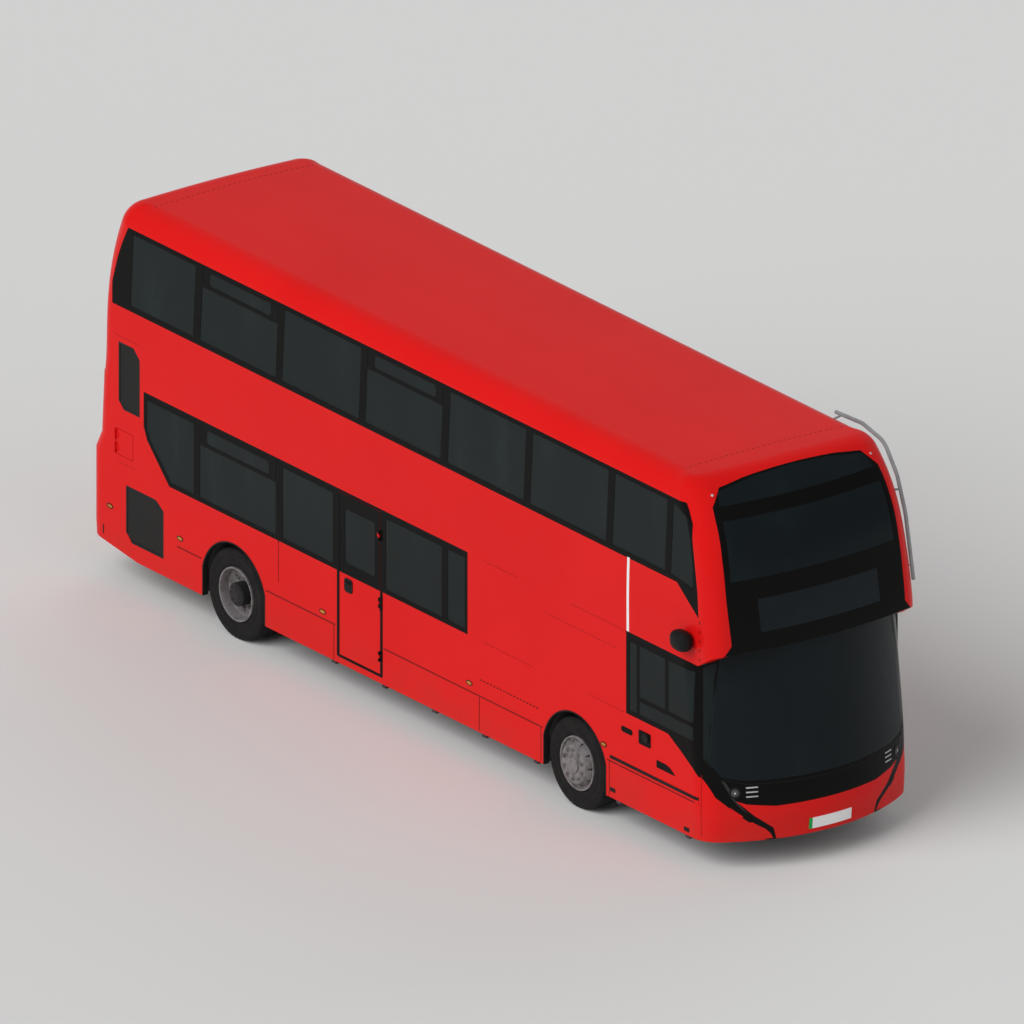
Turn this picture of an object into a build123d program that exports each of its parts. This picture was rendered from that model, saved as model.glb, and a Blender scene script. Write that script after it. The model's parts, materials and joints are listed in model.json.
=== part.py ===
"""Electric double-decker city bus: a two-deck body on a low-floor chassis, its steered front
axle, twin-tyred rear axle, doors and fittings.

Millimetres, +X forwards, +Y to the nearside (left), +Z up. The origin lies on the ground under
the middle of the body. Places along the bus are mostly given from the front axle, with fore().
"""

import os
from math import cos, radians, sin, sqrt

from build123d import *

# ---------------------------------------------------------------- driving dimensions
length = 10880
width = 2550
height = 4080
wheelbase = 5790
front_overhang = 2620

wall = 45  # thickness of every body panel
glass_depth = 3  # panes sit this far behind the outer skin
glass_thickness = 8
shut_gap = 6  # gap round a door or lid that moves
running_clearance = 0.08  # radial, pin or spindle in its bore
seat_clearance = 0.3  # end of a turning piece to what holds it

skirt_z = 310  # lower edge of the side panels
waist_z = 1300  # lower edge of the lower-deck window band
deck_z = 2187  # joint between the lower and the upper body sides
corner_head_z = 2314  # underside of the upper body at the front corners
screen_head_z = 2356  # underside of the upper front where it overhangs
band_low_z = 2975  # upper-deck window band
band_high_z = 3840
cantrail_z = band_high_z  # joint between the upper sides and the roof

tyre_radius = 478.5
rim_radius = 286
wheel_track_y = 1112  # middle of the outer tyres
twin_spacing = 318
arch_radius = 545
arch_half = 524  # the arch's straight legs stand closer than its round top
kingpin_y = 1000

# ---------------------------------------------------------------- places worked out from them
nose_x = length / 2
tail_x = -length / 2
side_y = width / 2
front_axle_x = nose_x - front_overhang
rear_axle_x = front_axle_x - wheelbase


def fore(distance):
    """The x of a place given as a distance ahead of the front axle."""
    return front_axle_x + distance


def aft(distance):
    """The x of a place given as a distance ahead of the tail."""
    return tail_x + distance


# ---------------------------------------------------------------- shared shapes
def block(x0, x1, y0, y1, z0, z1):
    """A plain block between two corners."""
    size = Box(abs(x1 - x0), abs(y1 - y0), abs(z1 - z0))
    return Pos((x0 + x1) / 2, (y0 + y1) / 2, (z0 + z1) / 2) * size


def side_block(side, x0, x1, z0, z1):
    """A block that takes in one side wall and stops well short of the middle."""
    return block(x0, x1, side * side_y / 2, side * width, z0, z1)


def side_prism(points, y0, y1):
    """A prism whose side view is the outline through (x, z) points, from y0 to y1."""
    face = make_face(Polyline(*[(x, min(y0, y1), z) for x, z in points], close=True))
    return extrude(face, amount=abs(y1 - y0), dir=(0, 1, 0))


def front_prism(points, x0, x1):
    """A prism whose front view is the outline through (y, z) points, from x0 to x1."""
    face = make_face(Polyline(*[(min(x0, x1), y, z) for y, z in points], close=True))
    return extrude(face, amount=abs(x1 - x0), dir=(1, 0, 0))


def both_sides(points):
    """A front-view outline from its left half, listed from the bottom to the top."""
    return points + [(-y, z) for y, z in reversed(points) if y > 0]


def pole(start, end, radius):
    """A round bar between two points."""
    a, b = Vector(start), Vector(end)
    along = b - a
    return extrude(Plane(origin=a, z_dir=along) * Circle(radius), amount=along.length)


def turned(profile, x, y, z, outward):
    """A solid of revolution about the cross axis at (x, z); the profile is (radius, offset)."""
    points = [(r, outward * offset) for r, offset in profile]
    face = make_face(Polyline(*[(r, d, 0) for r, d in points], close=True))
    return Pos(x, y, z) * revolve(face, Axis.Y)


def both(shape):
    """A shape and its mirror image across the middle of the bus."""
    return [shape, mirror(shape, about=Plane.XZ)]


# ---------------------------------------------------------------- outer form of the body
# Each row is a level: z, setback of the nose, setback of the tail, inset of each side, and the
# plan radii of the front and rear corners.
LOWER_LEVELS = [
    (skirt_z, 20, 20, 0, 330, 200),
    (560, 0, 0, 0, 330, 200),
    (1000, 20, 0, 0, 330, 200),
    (1330, 57, 0, 0, 340, 200),
    (1520, 78, 100, 0, 350, 200),
    (screen_head_z + 10, 172, 150, 0, 400, 200),
]
UPPER_LEVELS = [
    (deck_z, 125, 148, 0, 220, 200),
    (2620, 145, 180, 0, 220, 200),
    (2930, 200, 185, 7, 230, 200),
    (3330, 285, 210, 25, 250, 220),
    (3710, 450, 280, 43, 300, 260),
    (height + 120, 900, 420, 68, 440, 380),
]
LOWER_NOSE_RADIUS = 2100
UPPER_NOSE_RADIUS = 5660
ROOF_CROWN_RADIUS = 22000
ROOF_EDGE_RADIUS = 280


def plan(level, nose_radius, inset):
    """The plan of the body at one level: a bowed nose, straight sides and rounded corners."""
    z, nose_setback, tail_setback, side_inset, front_corner, rear_corner = level
    front = nose_x - nose_setback - inset
    rear = tail_x + tail_setback + inset
    half = side_y - side_inset - inset
    radius = nose_radius - inset
    sag = radius - sqrt(radius**2 - half**2)
    nose = ThreePointArc((front - sag, -half), (front, 0), (front - sag, half))
    back = Polyline((front - sag, half), (rear, half), (rear, -half), (front - sag, -half))
    face = make_face(nose + back)
    face = fillet(face.vertices().group_by(Axis.X)[-1], front_corner - inset)
    face = fillet(face.vertices().group_by(Axis.X)[0], rear_corner - inset)
    return Pos(0, 0, z) * face


def lower_hull(inset):
    return loft([plan(level, LOWER_NOSE_RADIUS, inset) for level in LOWER_LEVELS], ruled=True)


def upper_hull(inset):
    """The upper body: a smooth tapering form under a crowned roof with rounded edges."""
    form = loft([plan(level, UPPER_NOSE_RADIUS, inset) for level in UPPER_LEVELS])
    crown = Pos(0, 0, height - inset - ROOF_CROWN_RADIUS) * Rot(0, 90, 0) * Cylinder(
        ROOF_CROWN_RADIUS, 2 * length
    )
    form = form & crown
    rim_level = height - inset - ROOF_EDGE_RADIUS / 2
    edges = [edge for edge in form.edges() if edge.center().Z > rim_level]
    return fillet(edges, ROOF_EDGE_RADIUS - inset)


lower_outer, lower_inner = lower_hull(0), lower_hull(wall)
upper_outer, upper_inner = upper_hull(0), upper_hull(wall)
lower_shell = lower_outer - lower_inner
upper_shell = upper_outer - upper_inner
lower_pane = lower_hull(glass_depth) - lower_hull(glass_depth + glass_thickness)
upper_pane = upper_hull(glass_depth) - upper_hull(glass_depth + glass_thickness)

# ---------------------------------------------------------------- where the panels meet
pillar_x = fore(2040)  # rear edge of the black screen pillar
screen_side_x = fore(2170)  # rear edge of the wrapped lower windscreen
bumper_x = fore(2090)
upper_corner_x = fore(2120)
dome_x = fore(1480)
rear_dome_x = aft(760)
rear_corner_x = aft(330)
far = 2 * length

# Everything below this side-view line belongs to the lower body, everything above to the upper.
deck_line = [
    (-far, deck_z),
    (bumper_x, deck_z),
    (fore(2290), corner_head_z),
    (fore(2400), screen_head_z),
    (far, screen_head_z),
]
above_deck = side_prism([(-far, height + 500)] + deck_line + [(far, height + 500)], -width, width)
lower_shell -= above_deck
lower_pane -= above_deck
upper_shell &= above_deck
upper_pane &= above_deck

# ---------------------------------------------------------------- window bands and panes
# upper deck, both sides: rear and front edge of each pane, from the front axle
UPPER_PANES = [
    (-7560, -6500),
    (-6380, -5100),
    (-4990, -3690),
    (-3580, -2300),
    (-2180, -890),
    (-780, 510),
    (620, 1510),
]
UPPER_BAND = [
    (-7865, band_low_z),
    (-7880, 3200),
    (-7800, 3500),
    (-7740, 3650),
    (-7650, band_high_z),
    (1800, band_high_z),
    (1850, 3780),
    (1930, 3650),
    (1950, 3500),
    (2020, 3200),
    (2070, band_low_z),
    (2100, 2700),
    (1720, band_low_z),
]
UPPER_QUARTER = [(1610, 3035), (1990, 2990), (1975, 3200), (1905, 3500), (1840, 3700), (1610, 3790)]
upper_pane_z = (3035, 3790)

band_top_z = deck_z + 10  # the lower bands run up to the deck joint
LOWER_BAND_RIGHT = [
    (-7320, band_top_z),
    (-7320, 1810),
    (-7260, 1680),
    (-6886, waist_z),
    (-4040, waist_z),
    (-4040, band_top_z),
]
LOWER_BAND_RIGHT_FRONT = [(-3260, waist_z), (-1820, waist_z), (-1820, band_top_z), (-3260, band_top_z)]
LOWER_BAND_LEFT = [
    (-7320, band_top_z),
    (-7320, 1810),
    (-7260, 1680),
    (-6886, waist_z),
    (600, waist_z),
    (600, band_top_z),
]
lower_pane_z = (1350, 2110)
LOWER_PANES_RIGHT = [(-6370, -5080), (-4960, -4110), (-3210, -2260), (-2160, -1870)]
LOWER_PANES_LEFT = [(-6370, -5080), (-4960, -3690), (-3580, -2300), (-2180, -890), (-780, 550)]
LOWER_REAR_PANE = [(-7270, 2110), (-7270, 1810), (-7215, 1700), (-6865, 1350), (-6470, 1350), (-6470, 2110)]
CAB_BAND = [
    (870, waist_z),
    (1580, waist_z),
    (1800, 1180),
    (2000, 1060),
    (2090, 983),
    (2090, band_top_z),
    (870, band_top_z),
]
PILLAR_BAND_LEFT = [(2040, 1030), (2090, 983), (2090, band_top_z), (2040, band_top_z)]
CAB_PANES = [
    (925, 1050, 1350, 2090),
    (1090, 2000, 1350, 1495),
    (1090, 1530, 1540, 2090),
    (1580, 2000, 1540, 2090),
]


def shifted(points):
    """Side-view points given from the front axle, moved to the frame of the bus."""
    return [(fore(x), z) for x, z in points]


def through_wall(points, side):
    """A cutter through one side wall only; side is -1 on the right and 1 on the left."""
    return side_prism(shifted(points), side * (side_y - 220), side * (side_y + 120))


def pane_rows(rows, z_range, side):
    z0, z1 = z_range
    outlines = [[(a, z0), (b, z0), (b, z1), (a, z1)] for a, b in rows]
    return [through_wall(outline, side) for outline in outlines]


upper_openings = {}
lower_openings = {}
upper_cutters = {}
lower_cutters = {}
for side in (-1, 1):
    upper_openings[side] = [through_wall(UPPER_BAND, side)]
    upper_cutters[side] = pane_rows(UPPER_PANES, upper_pane_z, side) + [through_wall(UPPER_QUARTER, side)]
cab_outlines = [[(a, z0), (b, z0), (b, z1), (a, z1)] for a, b, z0, z1 in CAB_PANES]
lower_openings[-1] = [
    through_wall(outline, -1) for outline in (LOWER_BAND_RIGHT, LOWER_BAND_RIGHT_FRONT, CAB_BAND)
]
lower_cutters[-1] = (
    pane_rows(LOWER_PANES_RIGHT, lower_pane_z, -1)
    + [through_wall(LOWER_REAR_PANE, -1)]
    + [through_wall(outline, -1) for outline in cab_outlines]
)
lower_openings[1] = [through_wall(outline, 1) for outline in (LOWER_BAND_LEFT, PILLAR_BAND_LEFT)]
lower_cutters[1] = pane_rows(LOWER_PANES_LEFT, lower_pane_z, 1) + [through_wall(LOWER_REAR_PANE, 1)]

# ---------------------------------------------------------------- front outlines, seen from ahead
MASK_HALF = [  # black panel with the lamps, its side sweeps and the two stripes of the bumper
    (0, 668),
    (620, 668),
    (900, 710),
    (1000, 751),
    (830, 581),
    (640, 434),
    (600, skirt_z - 20),
    (700, skirt_z - 20),
    (775, 428),
    (970, 592),
    (1170, 790),
    (1250, 983),
    (1400, 1060),
    (1400, 1300),
    (1240, 1210),
    (1120, 1005),
    (900, 955),
    (0, 945),
]
mask_area = both_sides(MASK_HALF)
SCREEN_HALF = [(0, 945), (900, 955), (1120, 1005), (1240, 1210), (1400, 1300),
               (1400, screen_head_z - 28), (0, screen_head_z - 28)]
UPPER_FRONT_HALF = [
    (0, screen_head_z - 20),
    (1170, screen_head_z - 20),
    (1080, 2450),
    (1085, 2620),
    (1089, 2930),
    (1077, 3330),
    (1045, 3710),
    (1027, 3810),
    (880, 3960),
    (450, 4022),
    (0, 4045),
]
MAIN_SCREEN_HALF = [(0, 3088), (1023, 3088), (1000, 3450), (982, 3678), (0, 3678)]
TOP_SCREEN_HALF = [(0, 3805), (965, 3805), (905, 3935), (450, 4000), (0, 4020)]
DISPLAY_HALF = [(0, 2535), (745, 2535), (745, 2877), (0, 2877)]


def seen_from_ahead(half, x0):
    return front_prism(both_sides(half), x0, far)


nodes = {}

# ---------------------------------------------------------------- upper body panels
upper_front_area = seen_from_ahead(UPPER_FRONT_HALF, fore(1900))
roof_zone = block(rear_dome_x, dome_x, -width, width, cantrail_z, height + 200)
front_pane_x, rear_pane_x = fore(1560), fore(-7600)  # the side panels end inside the bands
front_dome_zone = side_prism(
    [
        (dome_x, height + 200),
        (dome_x, cantrail_z),
        (front_pane_x, cantrail_z),
        (front_pane_x, band_low_z + 20),
        (upper_corner_x, band_low_z + 20),
        (upper_corner_x, deck_z - 100),
        (far, deck_z - 100),
        (far, height + 200),
    ],
    -width,
    width,
)
rear_dome_zone = side_prism(
    [
        (rear_dome_x, height + 200),
        (rear_dome_x, cantrail_z),
        (rear_pane_x, cantrail_z),
        (rear_pane_x, band_low_z + 20),
        (rear_corner_x, band_low_z + 20),
        (rear_corner_x, deck_z - 100),
        (-far, deck_z - 100),
        (-far, height + 200),
    ],
    -width,
    width,
)
soffit_thickness = 30
soffit_band = side_prism(
    deck_line[1:] + [(x, z + soffit_thickness) for x, z in reversed(deck_line[1:])], -width, width
)
soffit_band &= block(upper_corner_x, far, -width, width, 0, height)
rear_window_area = front_prism(
    [(-860, 2960), (860, 2960), (800, 3640), (-800, 3640)], -far, rear_corner_x
)
rear_window_pane = front_prism(
    [(-800, 3015), (800, 3015), (745, 3585), (-745, 3585)], -far, rear_corner_x
)

nodes["roof"] = upper_shell & roof_zone
front_dome = (upper_shell & front_dome_zone) + (upper_outer & soffit_band) - upper_front_area
rear_dome = (upper_shell & rear_dome_zone) - rear_window_area
for side, name in ((-1, "wall_right_upper"), (1, "wall_left_upper")):
    low = side_block(side, rear_corner_x, upper_corner_x, deck_z - 100, band_low_z + 20)
    high = side_block(side, rear_pane_x, front_pane_x, band_low_z + 20, cantrail_z)
    panel = upper_shell & (low + high)
    for opening in upper_openings[side]:
        panel -= opening
        front_dome -= opening
        rear_dome -= opening
    nodes[name] = panel
nodes["front_dome"] = front_dome
nodes["rear_dome"] = rear_dome

# ---------------------------------------------------------------- lower body openings
em_door_x = (fore(-4040), fore(-3260))
em_door_z = (380, deck_z)
em_frame = 42
entrance_x = (fore(735), pillar_x)
low_floor_z = 370
entrance_z = (low_floor_z, 2150)
rear_cover_y = 820
rear_cover_z = (560, 1290)
GRILLE_UPPER = [(-7745, 1965), (-7660, 1885), (-7385, 1885), (-7385, 2500), (-7490, 2600), (-7745, 2600)]
GRILLE_LOWER = [(-7620, 585), (-7520, 490), (-6980, 490), (-6980, 1000), (-7110, 1088), (-7620, 1088)]
flap_x = (fore(-7790), fore(-7500))
flap_z = (1376, 1660)


def arch_cutter(axle_x, side):
    """The round-topped wheel opening of one side wall."""
    y = side * (side_y - 40)
    round_top = Pos(axle_x, y, tyre_radius) * Rot(90, 0, 0) * Cylinder(arch_radius, 400)
    legs = block(axle_x - arch_half, axle_x + arch_half, y - 200, y + 200, 0, tyre_radius)
    between_legs = block(axle_x - arch_half, axle_x + arch_half, y - 200, y + 200, 0, height)
    return (round_top + legs) & between_legs


def tail_rise(side_y0, side_y1):
    """The upward sweep of the skirt behind the rear wheels."""
    return side_prism(
        [(aft(-200), 0), (aft(-200), 425), (aft(0), 420), (aft(260), 386), (aft(840), skirt_z),
         (aft(840), 0)],
        side_y0,
        side_y1,
    )


rear_rise = tail_rise(-width, width)
lower_rear_zone = block(-far, rear_corner_x, -width, width, 0, deck_z)
rear_cover_area = block(-far, rear_corner_x, -rear_cover_y, rear_cover_y, *rear_cover_z)

em_door_outer = block(*em_door_x, -side_y - 100, -side_y + 200, *em_door_z)
entrance_outer = block(*entrance_x, side_y - 200, side_y + 100, entrance_z[0], band_top_z)
flap_outer = block(*flap_x, -side_y - 100, -side_y + 200, *flap_z)
grille_areas = []
for side in (-1, 1):
    for outline in (GRILLE_UPPER, GRILLE_LOWER):
        grille_areas.append((side, through_wall(outline, side)))

mask_prism = front_prism(mask_area, bumper_x, far)
for side, name in ((-1, "wall_right_lower"), (1, "wall_left_lower")):
    panel = lower_shell & side_block(side, rear_corner_x, bumper_x, 0, deck_z + 50)
    for opening in lower_openings[side]:
        panel -= opening
    for axle_x in (front_axle_x, rear_axle_x):
        panel -= arch_cutter(axle_x, side)
    for grille_side, area in grille_areas:
        if grille_side == side:
            panel -= area
            nodes[name.replace("lower", "upper")] -= area
    panel -= rear_rise
    nodes[name] = panel
nodes["wall_right_lower"] -= em_door_outer
nodes["wall_right_lower"] -= flap_outer
nodes["wall_left_lower"] -= entrance_outer

nodes["rear_lower"] = (lower_shell & lower_rear_zone) - rear_rise - rear_cover_area

# ---------------------------------------------------------------- bumper, mask and screens
front_low = lower_shell & block(bumper_x, far, -width, width, 0, height)
screen_area = front_prism(both_sides(SCREEN_HALF), screen_side_x, far)
lamp_y, lamp_z, lamp_radius = 1005, 838, 52
lamp_bars = [(790, 905, 838 + step) for step in (-48, 0, 48)]


def lamp_cutters():
    """The round lamp and its three light bars on each side, as cutters along the bus."""
    cutters = []
    for side in (-1, 1):
        round_lamp = Pos(fore(2350), side * lamp_y, lamp_z) * Rot(0, 90, 0) * Cylinder(lamp_radius, 900)
        cutters.append(round_lamp)
        for y0, y1, z in lamp_bars:
            cutters.append(block(fore(2000), far, side * y0, side * y1, z - 8, z + 8))
    return cutters


lamps = lamp_cutters()
bumper_zone = block(bumper_x, far, -width, width, 0, 1000)
nodes["bumper_front"] = (front_low & bumper_zone) - mask_prism - screen_area
mask = (front_low & mask_prism) - screen_area
lamp_shell = lower_hull(2) - lower_hull(32)
lamp_solids = []
for cutter in lamps:
    mask -= cutter
    lamp_solids.append(lamp_shell & cutter)
nodes["front_mask"] = mask
nodes["headlamps"] = Compound(children=[s for lamp in lamp_solids for s in lamp.solids()])

surrounds = []
panes = []
surrounds.append(front_low - screen_area - mask_prism - bumper_zone)
screens = [lower_pane & screen_area]

upper_surround = upper_shell & upper_front_area
for half in (MAIN_SCREEN_HALF, TOP_SCREEN_HALF, DISPLAY_HALF):
    upper_surround -= seen_from_ahead(half, fore(1900))
surrounds.append(upper_surround)
for half in (MAIN_SCREEN_HALF, TOP_SCREEN_HALF):
    screens.append(upper_pane & seen_from_ahead(half, fore(1900)))
nodes["destination_display"] = upper_pane & seen_from_ahead(DISPLAY_HALF, fore(1900))
surrounds.append((upper_shell & rear_window_area) - rear_window_pane)
screens.append(upper_pane & rear_window_pane)

for side in (-1, 1):
    for shell, pane, openings, cutters in (
        (upper_shell, upper_pane, upper_openings, upper_cutters),
        (lower_shell, lower_pane, lower_openings, lower_cutters),
    ):
        frame = None
        for opening in openings[side]:
            piece = shell & opening
            frame = piece if frame is None else frame + piece
        for cutter in cutters[side]:
            frame -= cutter
            panes.append(pane & cutter)
        surrounds.append(frame)

surrounds.append(lower_shell & block(*entrance_x, side_y - 200, side_y + 100, entrance_z[1], deck_z))

# black frame round the emergency door
em_door_opening = block(
    em_door_x[0] + em_frame,
    em_door_x[1] - em_frame,
    -side_y - 100,
    -side_y + 200,
    em_door_z[0] + em_frame / 2,
    em_door_z[1] - em_frame / 2,
)
surrounds.append((lower_shell & em_door_outer) - em_door_opening)


def gather(shapes):
    """One compound holding every solid of the shapes."""
    return Compound(children=[solid for shape in shapes for solid in shape.solids()])


nodes["glazing_surrounds"] = gather(surrounds)
nodes["side_windows"] = gather(panes)
nodes["windscreens"] = gather(screens)


# ---------------------------------------------------------------- grilles and lamps
def grille(outline, side):
    """A louvred grille: a frame round the opening, closed by slats that lean outwards."""
    opening = through_wall(outline, side)
    plate = (upper_shell + lower_shell) & opening
    zs = [point[1] for point in outline]
    xs = [fore(point[0]) for point in outline]
    border = 22
    middle = block(min(xs) + border, max(xs) - border, side * (side_y - 300), side * (side_y + 100),
                   min(zs) + border, max(zs) - border)
    slats = None
    z = min(zs) + border + grille_pitch / 2
    while z < max(zs) - border:
        slat = block(min(xs), max(xs), side * (side_y - 35), side * (side_y - 6), z - 6, z + 6)
        slats = slat if slats is None else slats + slat
        z += grille_pitch
    return (plate - middle) + (slats & opening)


grille_pitch = 48
nodes["side_grilles"] = gather(
    [grille(outline, side) for side in (-1, 1) for outline in (GRILLE_UPPER, GRILLE_LOWER)]
)

rear_lamp_y, rear_lamp_radius = 960, 48
rear_lamps = []
for side in (-1, 1):
    for z in (760, 890, 1020, 1150):
        cutter = Pos(tail_x, side * rear_lamp_y, z) * Rot(0, 90, 0) * Cylinder(rear_lamp_radius, 400)
        rear_lamps.append(lamp_shell & cutter)
        nodes["rear_lower"] -= cutter
nodes["rear_lamps"] = gather(rear_lamps)

marker_proud = 7
MARKERS = [(-7890, 780), (-6700, 800), (-4280, 775), (-1790, 790), (490, 845)]
markers = []
for x, z in MARKERS:
    lens = block(fore(x - 42), fore(x + 42), side_y, side_y + marker_proud, z - 18, z + 18)
    markers += both(lens)
for piece in both(block(fore(1900), fore(1960), 950, 1020, 3700, height)):
    markers.append(Pos(0, 0, marker_proud) * (piece & upper_shell) - upper_outer)
nodes["side_markers"] = gather(markers)

# ---------------------------------------------------------------- hinges
hinge_proud = 16  # pin line to the skin it folds away from
hinge_barrel = 10
hinge_pin = 4.5


def hinge(centre, along, to_fixed, to_moving, seat):
    """One pinned hinge: the fixed part with its pin, and the moving knuckle that turns on it.

    centre is the middle of the pin; along, to_fixed, to_moving and seat are unit directions: the
    pin line, the way to each leaf and the way down to the skin.
    """
    centre, along = Vector(*centre), Vector(*along)
    knuckle = 36

    def barrel(offset, size, radius):
        start = centre + along * (offset - size / 2)
        return extrude(Plane(origin=start, z_dir=along) * Circle(radius), amount=size)

    def leaf(offset, size, direction):
        direction, down = Vector(*direction), Vector(*seat)
        low = centre + along * (offset - size / 2) + down * (hinge_proud - 5)
        high = centre + along * (offset + size / 2) + down * hinge_proud + direction * 45
        return block(low.X, high.X, low.Y, high.Y, low.Z, high.Z) + block(
            *sorted((low.X, (centre + along * (offset + size / 2) + direction * 6).X)),
            *sorted((low.Y, (centre + along * (offset + size / 2) + direction * 6).Y)),
            *sorted((low.Z, (centre + along * (offset + size / 2) + direction * 6).Z)),
        )

    fixed = barrel(0, 3 * knuckle, hinge_pin)
    for step in (-1, 1):
        fixed = fixed + barrel(step * knuckle, knuckle - 2, hinge_barrel)
        fixed = fixed + leaf(step * knuckle, knuckle - 2, to_fixed)
    moving = barrel(0, knuckle - 2, hinge_barrel) + leaf(0, knuckle - 2, to_moving)
    moving -= barrel(0, 3 * knuckle, hinge_pin + running_clearance)
    return fixed, moving


# ---------------------------------------------------------------- emergency door, right side
em_x0, em_x1 = em_door_x[0] + em_frame + shut_gap, em_door_x[1] - em_frame - shut_gap
em_z0, em_z1 = em_door_z[0] + em_frame / 2 + shut_gap, em_door_z[1] - em_frame / 2 - shut_gap
em_leaf = lower_shell & block(em_x0, em_x1, -side_y - 100, -side_y + 200, em_z0, em_z1)
em_window = block(em_x0 + 70, em_x1 - 70, -side_y - 100, -side_y + 200, 1400, 2025)
em_leaf -= em_window
em_hinge_x = em_x1 + shut_gap / 2
em_hinge_y = -side_y - hinge_proud
em_frame_piece = surrounds[-1]
for z in (600, 1180, 1900):
    fixed, moving = hinge((em_hinge_x, em_hinge_y, z), (0, 0, 1), (1, 0, 0), (-1, 0, 0), (0, 1, 0))
    em_frame_piece = em_frame_piece + fixed
    em_leaf = em_leaf + moving
surrounds[-1] = em_frame_piece
nodes["emergency_door"] = em_leaf
nodes["emergency_door_glass"] = lower_pane & em_window
nodes["glazing_surrounds"] = gather(surrounds)

# ---------------------------------------------------------------- rear cover and charge flap
cover = lower_shell & block(
    -far, rear_corner_x, -rear_cover_y + shut_gap, rear_cover_y - shut_gap,
    rear_cover_z[0] + shut_gap, rear_cover_z[1] - shut_gap,
)
cover_hinge_z = rear_cover_z[1] - shut_gap / 2
rear_panel = nodes["rear_lower"]
flap_leaf = lower_shell & block(
    flap_x[0] + shut_gap, flap_x[1] - shut_gap, -side_y - 100, -side_y + 200,
    flap_z[0] + shut_gap, flap_z[1] - shut_gap,
)
right_wall = nodes["wall_right_lower"]
for z in (flap_z[0] + 70, flap_z[1] - 70):
    fixed, moving = hinge(
        (flap_x[0] + shut_gap / 2, em_hinge_y, z), (0, 0, 1), (-1, 0, 0), (1, 0, 0), (0, 1, 0)
    )
    right_wall = right_wall + fixed
    flap_leaf = flap_leaf + moving
for y in (-550, 0, 550):
    fixed, moving = hinge(
        (tail_x - hinge_proud, y, cover_hinge_z), (0, 1, 0), (0, 0, 1), (0, 0, -1), (1, 0, 0)
    )
    rear_panel = rear_panel + fixed
    cover = cover + moving
nodes["wall_right_lower"] = right_wall
nodes["rear_lower"] = rear_panel
nodes["charge_flap"] = flap_leaf
nodes["rear_cover"] = cover

inlet_x, inlet_z = sum(flap_x) / 2, sum(flap_z) / 2
inlet_box = block(flap_x[0] - 30, flap_x[1] + 30, -side_y + wall, -side_y + wall + 130,
                  flap_z[0] - 30, flap_z[1] + 30)
inlet_box -= block(flap_x[0], flap_x[1], -side_y, -side_y + wall + 110, flap_z[0], flap_z[1])
inlet_ring = Pos(inlet_x, -side_y + wall + 80, inlet_z) * Rot(90, 0, 0) * (
    Cylinder(48, 60) - Pos(0, 0, 10) * Cylinder(38, 60)
)
nodes["charge_inlet"] = inlet_box + inlet_ring

# ---------------------------------------------------------------- entrance doors, left side
door_thickness = 34
door_line_y = side_y - wall / 2
post_radius = 12
door_margin = 40  # post axis to the near edge of its leaf
arm_height = 14
arm_gap = 6
door_low = entrance_z[0] + 2 * arm_gap + arm_height
door_high = entrance_z[1] - 2 * arm_gap - arm_height
entrance_middle = sum(entrance_x) / 2
post_inset = 26  # post axis to the side of the opening
arm_reach = (entrance_middle - entrance_x[0] - post_inset - 5 + door_margin) / 2
door_rail = 62


def door_leaf(post_x, way):
    """One glazed leaf; way is +1 when it reaches forwards from its post."""
    near, away = door_margin, 2 * arm_reach - door_margin
    x0, x1 = sorted((post_x + way * near, post_x + way * away))
    door_y0, door_y1 = door_line_y - door_thickness / 2, door_line_y + door_thickness / 2
    leaf = block(x0, x1, door_y0, door_y1, door_low, door_high)
    opening = block(x0 + door_rail, x1 - door_rail, door_line_y - 100, door_line_y + 100,
                    door_low + door_rail + 60, door_high - door_rail)
    pane = opening & block(x0, x1, door_line_y - glass_thickness / 2, door_line_y + glass_thickness / 2,
                           door_low, door_high)
    middle = post_x + way * arm_reach
    leaf -= opening
    for z0, z1 in ((door_low, door_low + 30), (door_high - 30, door_high)):
        leaf -= Pos(middle, door_line_y, (z0 + z1) / 2) * Cylinder(8 + running_clearance, z1 - z0)
    return leaf, pane


def door_arm(post_x, way):
    """The turning post of a leaf, with the two arms that carry it by its middle."""
    post = Pos(post_x, door_line_y, sum(entrance_z) / 2) * Cylinder(
        post_radius, entrance_z[1] - entrance_z[0] - 2 * seat_clearance
    )
    middle = post_x + way * arm_reach
    for z0, pin in ((door_low - arm_gap - arm_height, 1), (door_high + arm_gap, -1)):
        post = post + block(post_x, middle, door_line_y - 12, door_line_y + 12, z0, z0 + arm_height)
        post = post + Pos(middle, door_line_y, z0 + arm_height / 2) * Cylinder(14, arm_height)
        pin_z = z0 + arm_height / 2 + pin * 16
        post = post + Pos(middle, door_line_y, pin_z) * Cylinder(8, 32)
    return post


for name, post_x, way in (
    ("rear", entrance_x[0] + post_inset, 1),
    ("front", entrance_x[1] - post_inset, -1),
):
    leaf, pane = door_leaf(post_x, way)
    nodes[f"entrance_leaf_{name}"] = leaf
    nodes[f"entrance_glass_{name}"] = pane
    nodes[f"entrance_arm_{name}"] = door_arm(post_x, way)

# ---------------------------------------------------------------- floors and wheel housings
floor_thickness = 40
raised_floor_z = 660
raised_x = fore(-5030)
riser_x = raised_x + floor_thickness
bay_x = fore(-6985)  # bulkhead ahead of the battery bay
housing_wall = 20
housing_y = 575
upper_floor_z = deck_z + 60


def wheel_space(axle_x, radius, y0, y1, z0):
    """The round-topped space a wheel needs, from y0 to y1 and from z0 upwards."""
    middle, reach = (y0 + y1) / 2, abs(y1 - y0)
    round_top = Pos(axle_x, middle, tyre_radius) * Rot(90, 0, 0) * Cylinder(radius, reach)
    legs = block(axle_x - radius, axle_x + radius, y0, y1, 0, tyre_radius)
    space = round_top + legs
    return space & block(axle_x - 2 * radius, axle_x + 2 * radius, y0, y1, z0, height)


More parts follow.
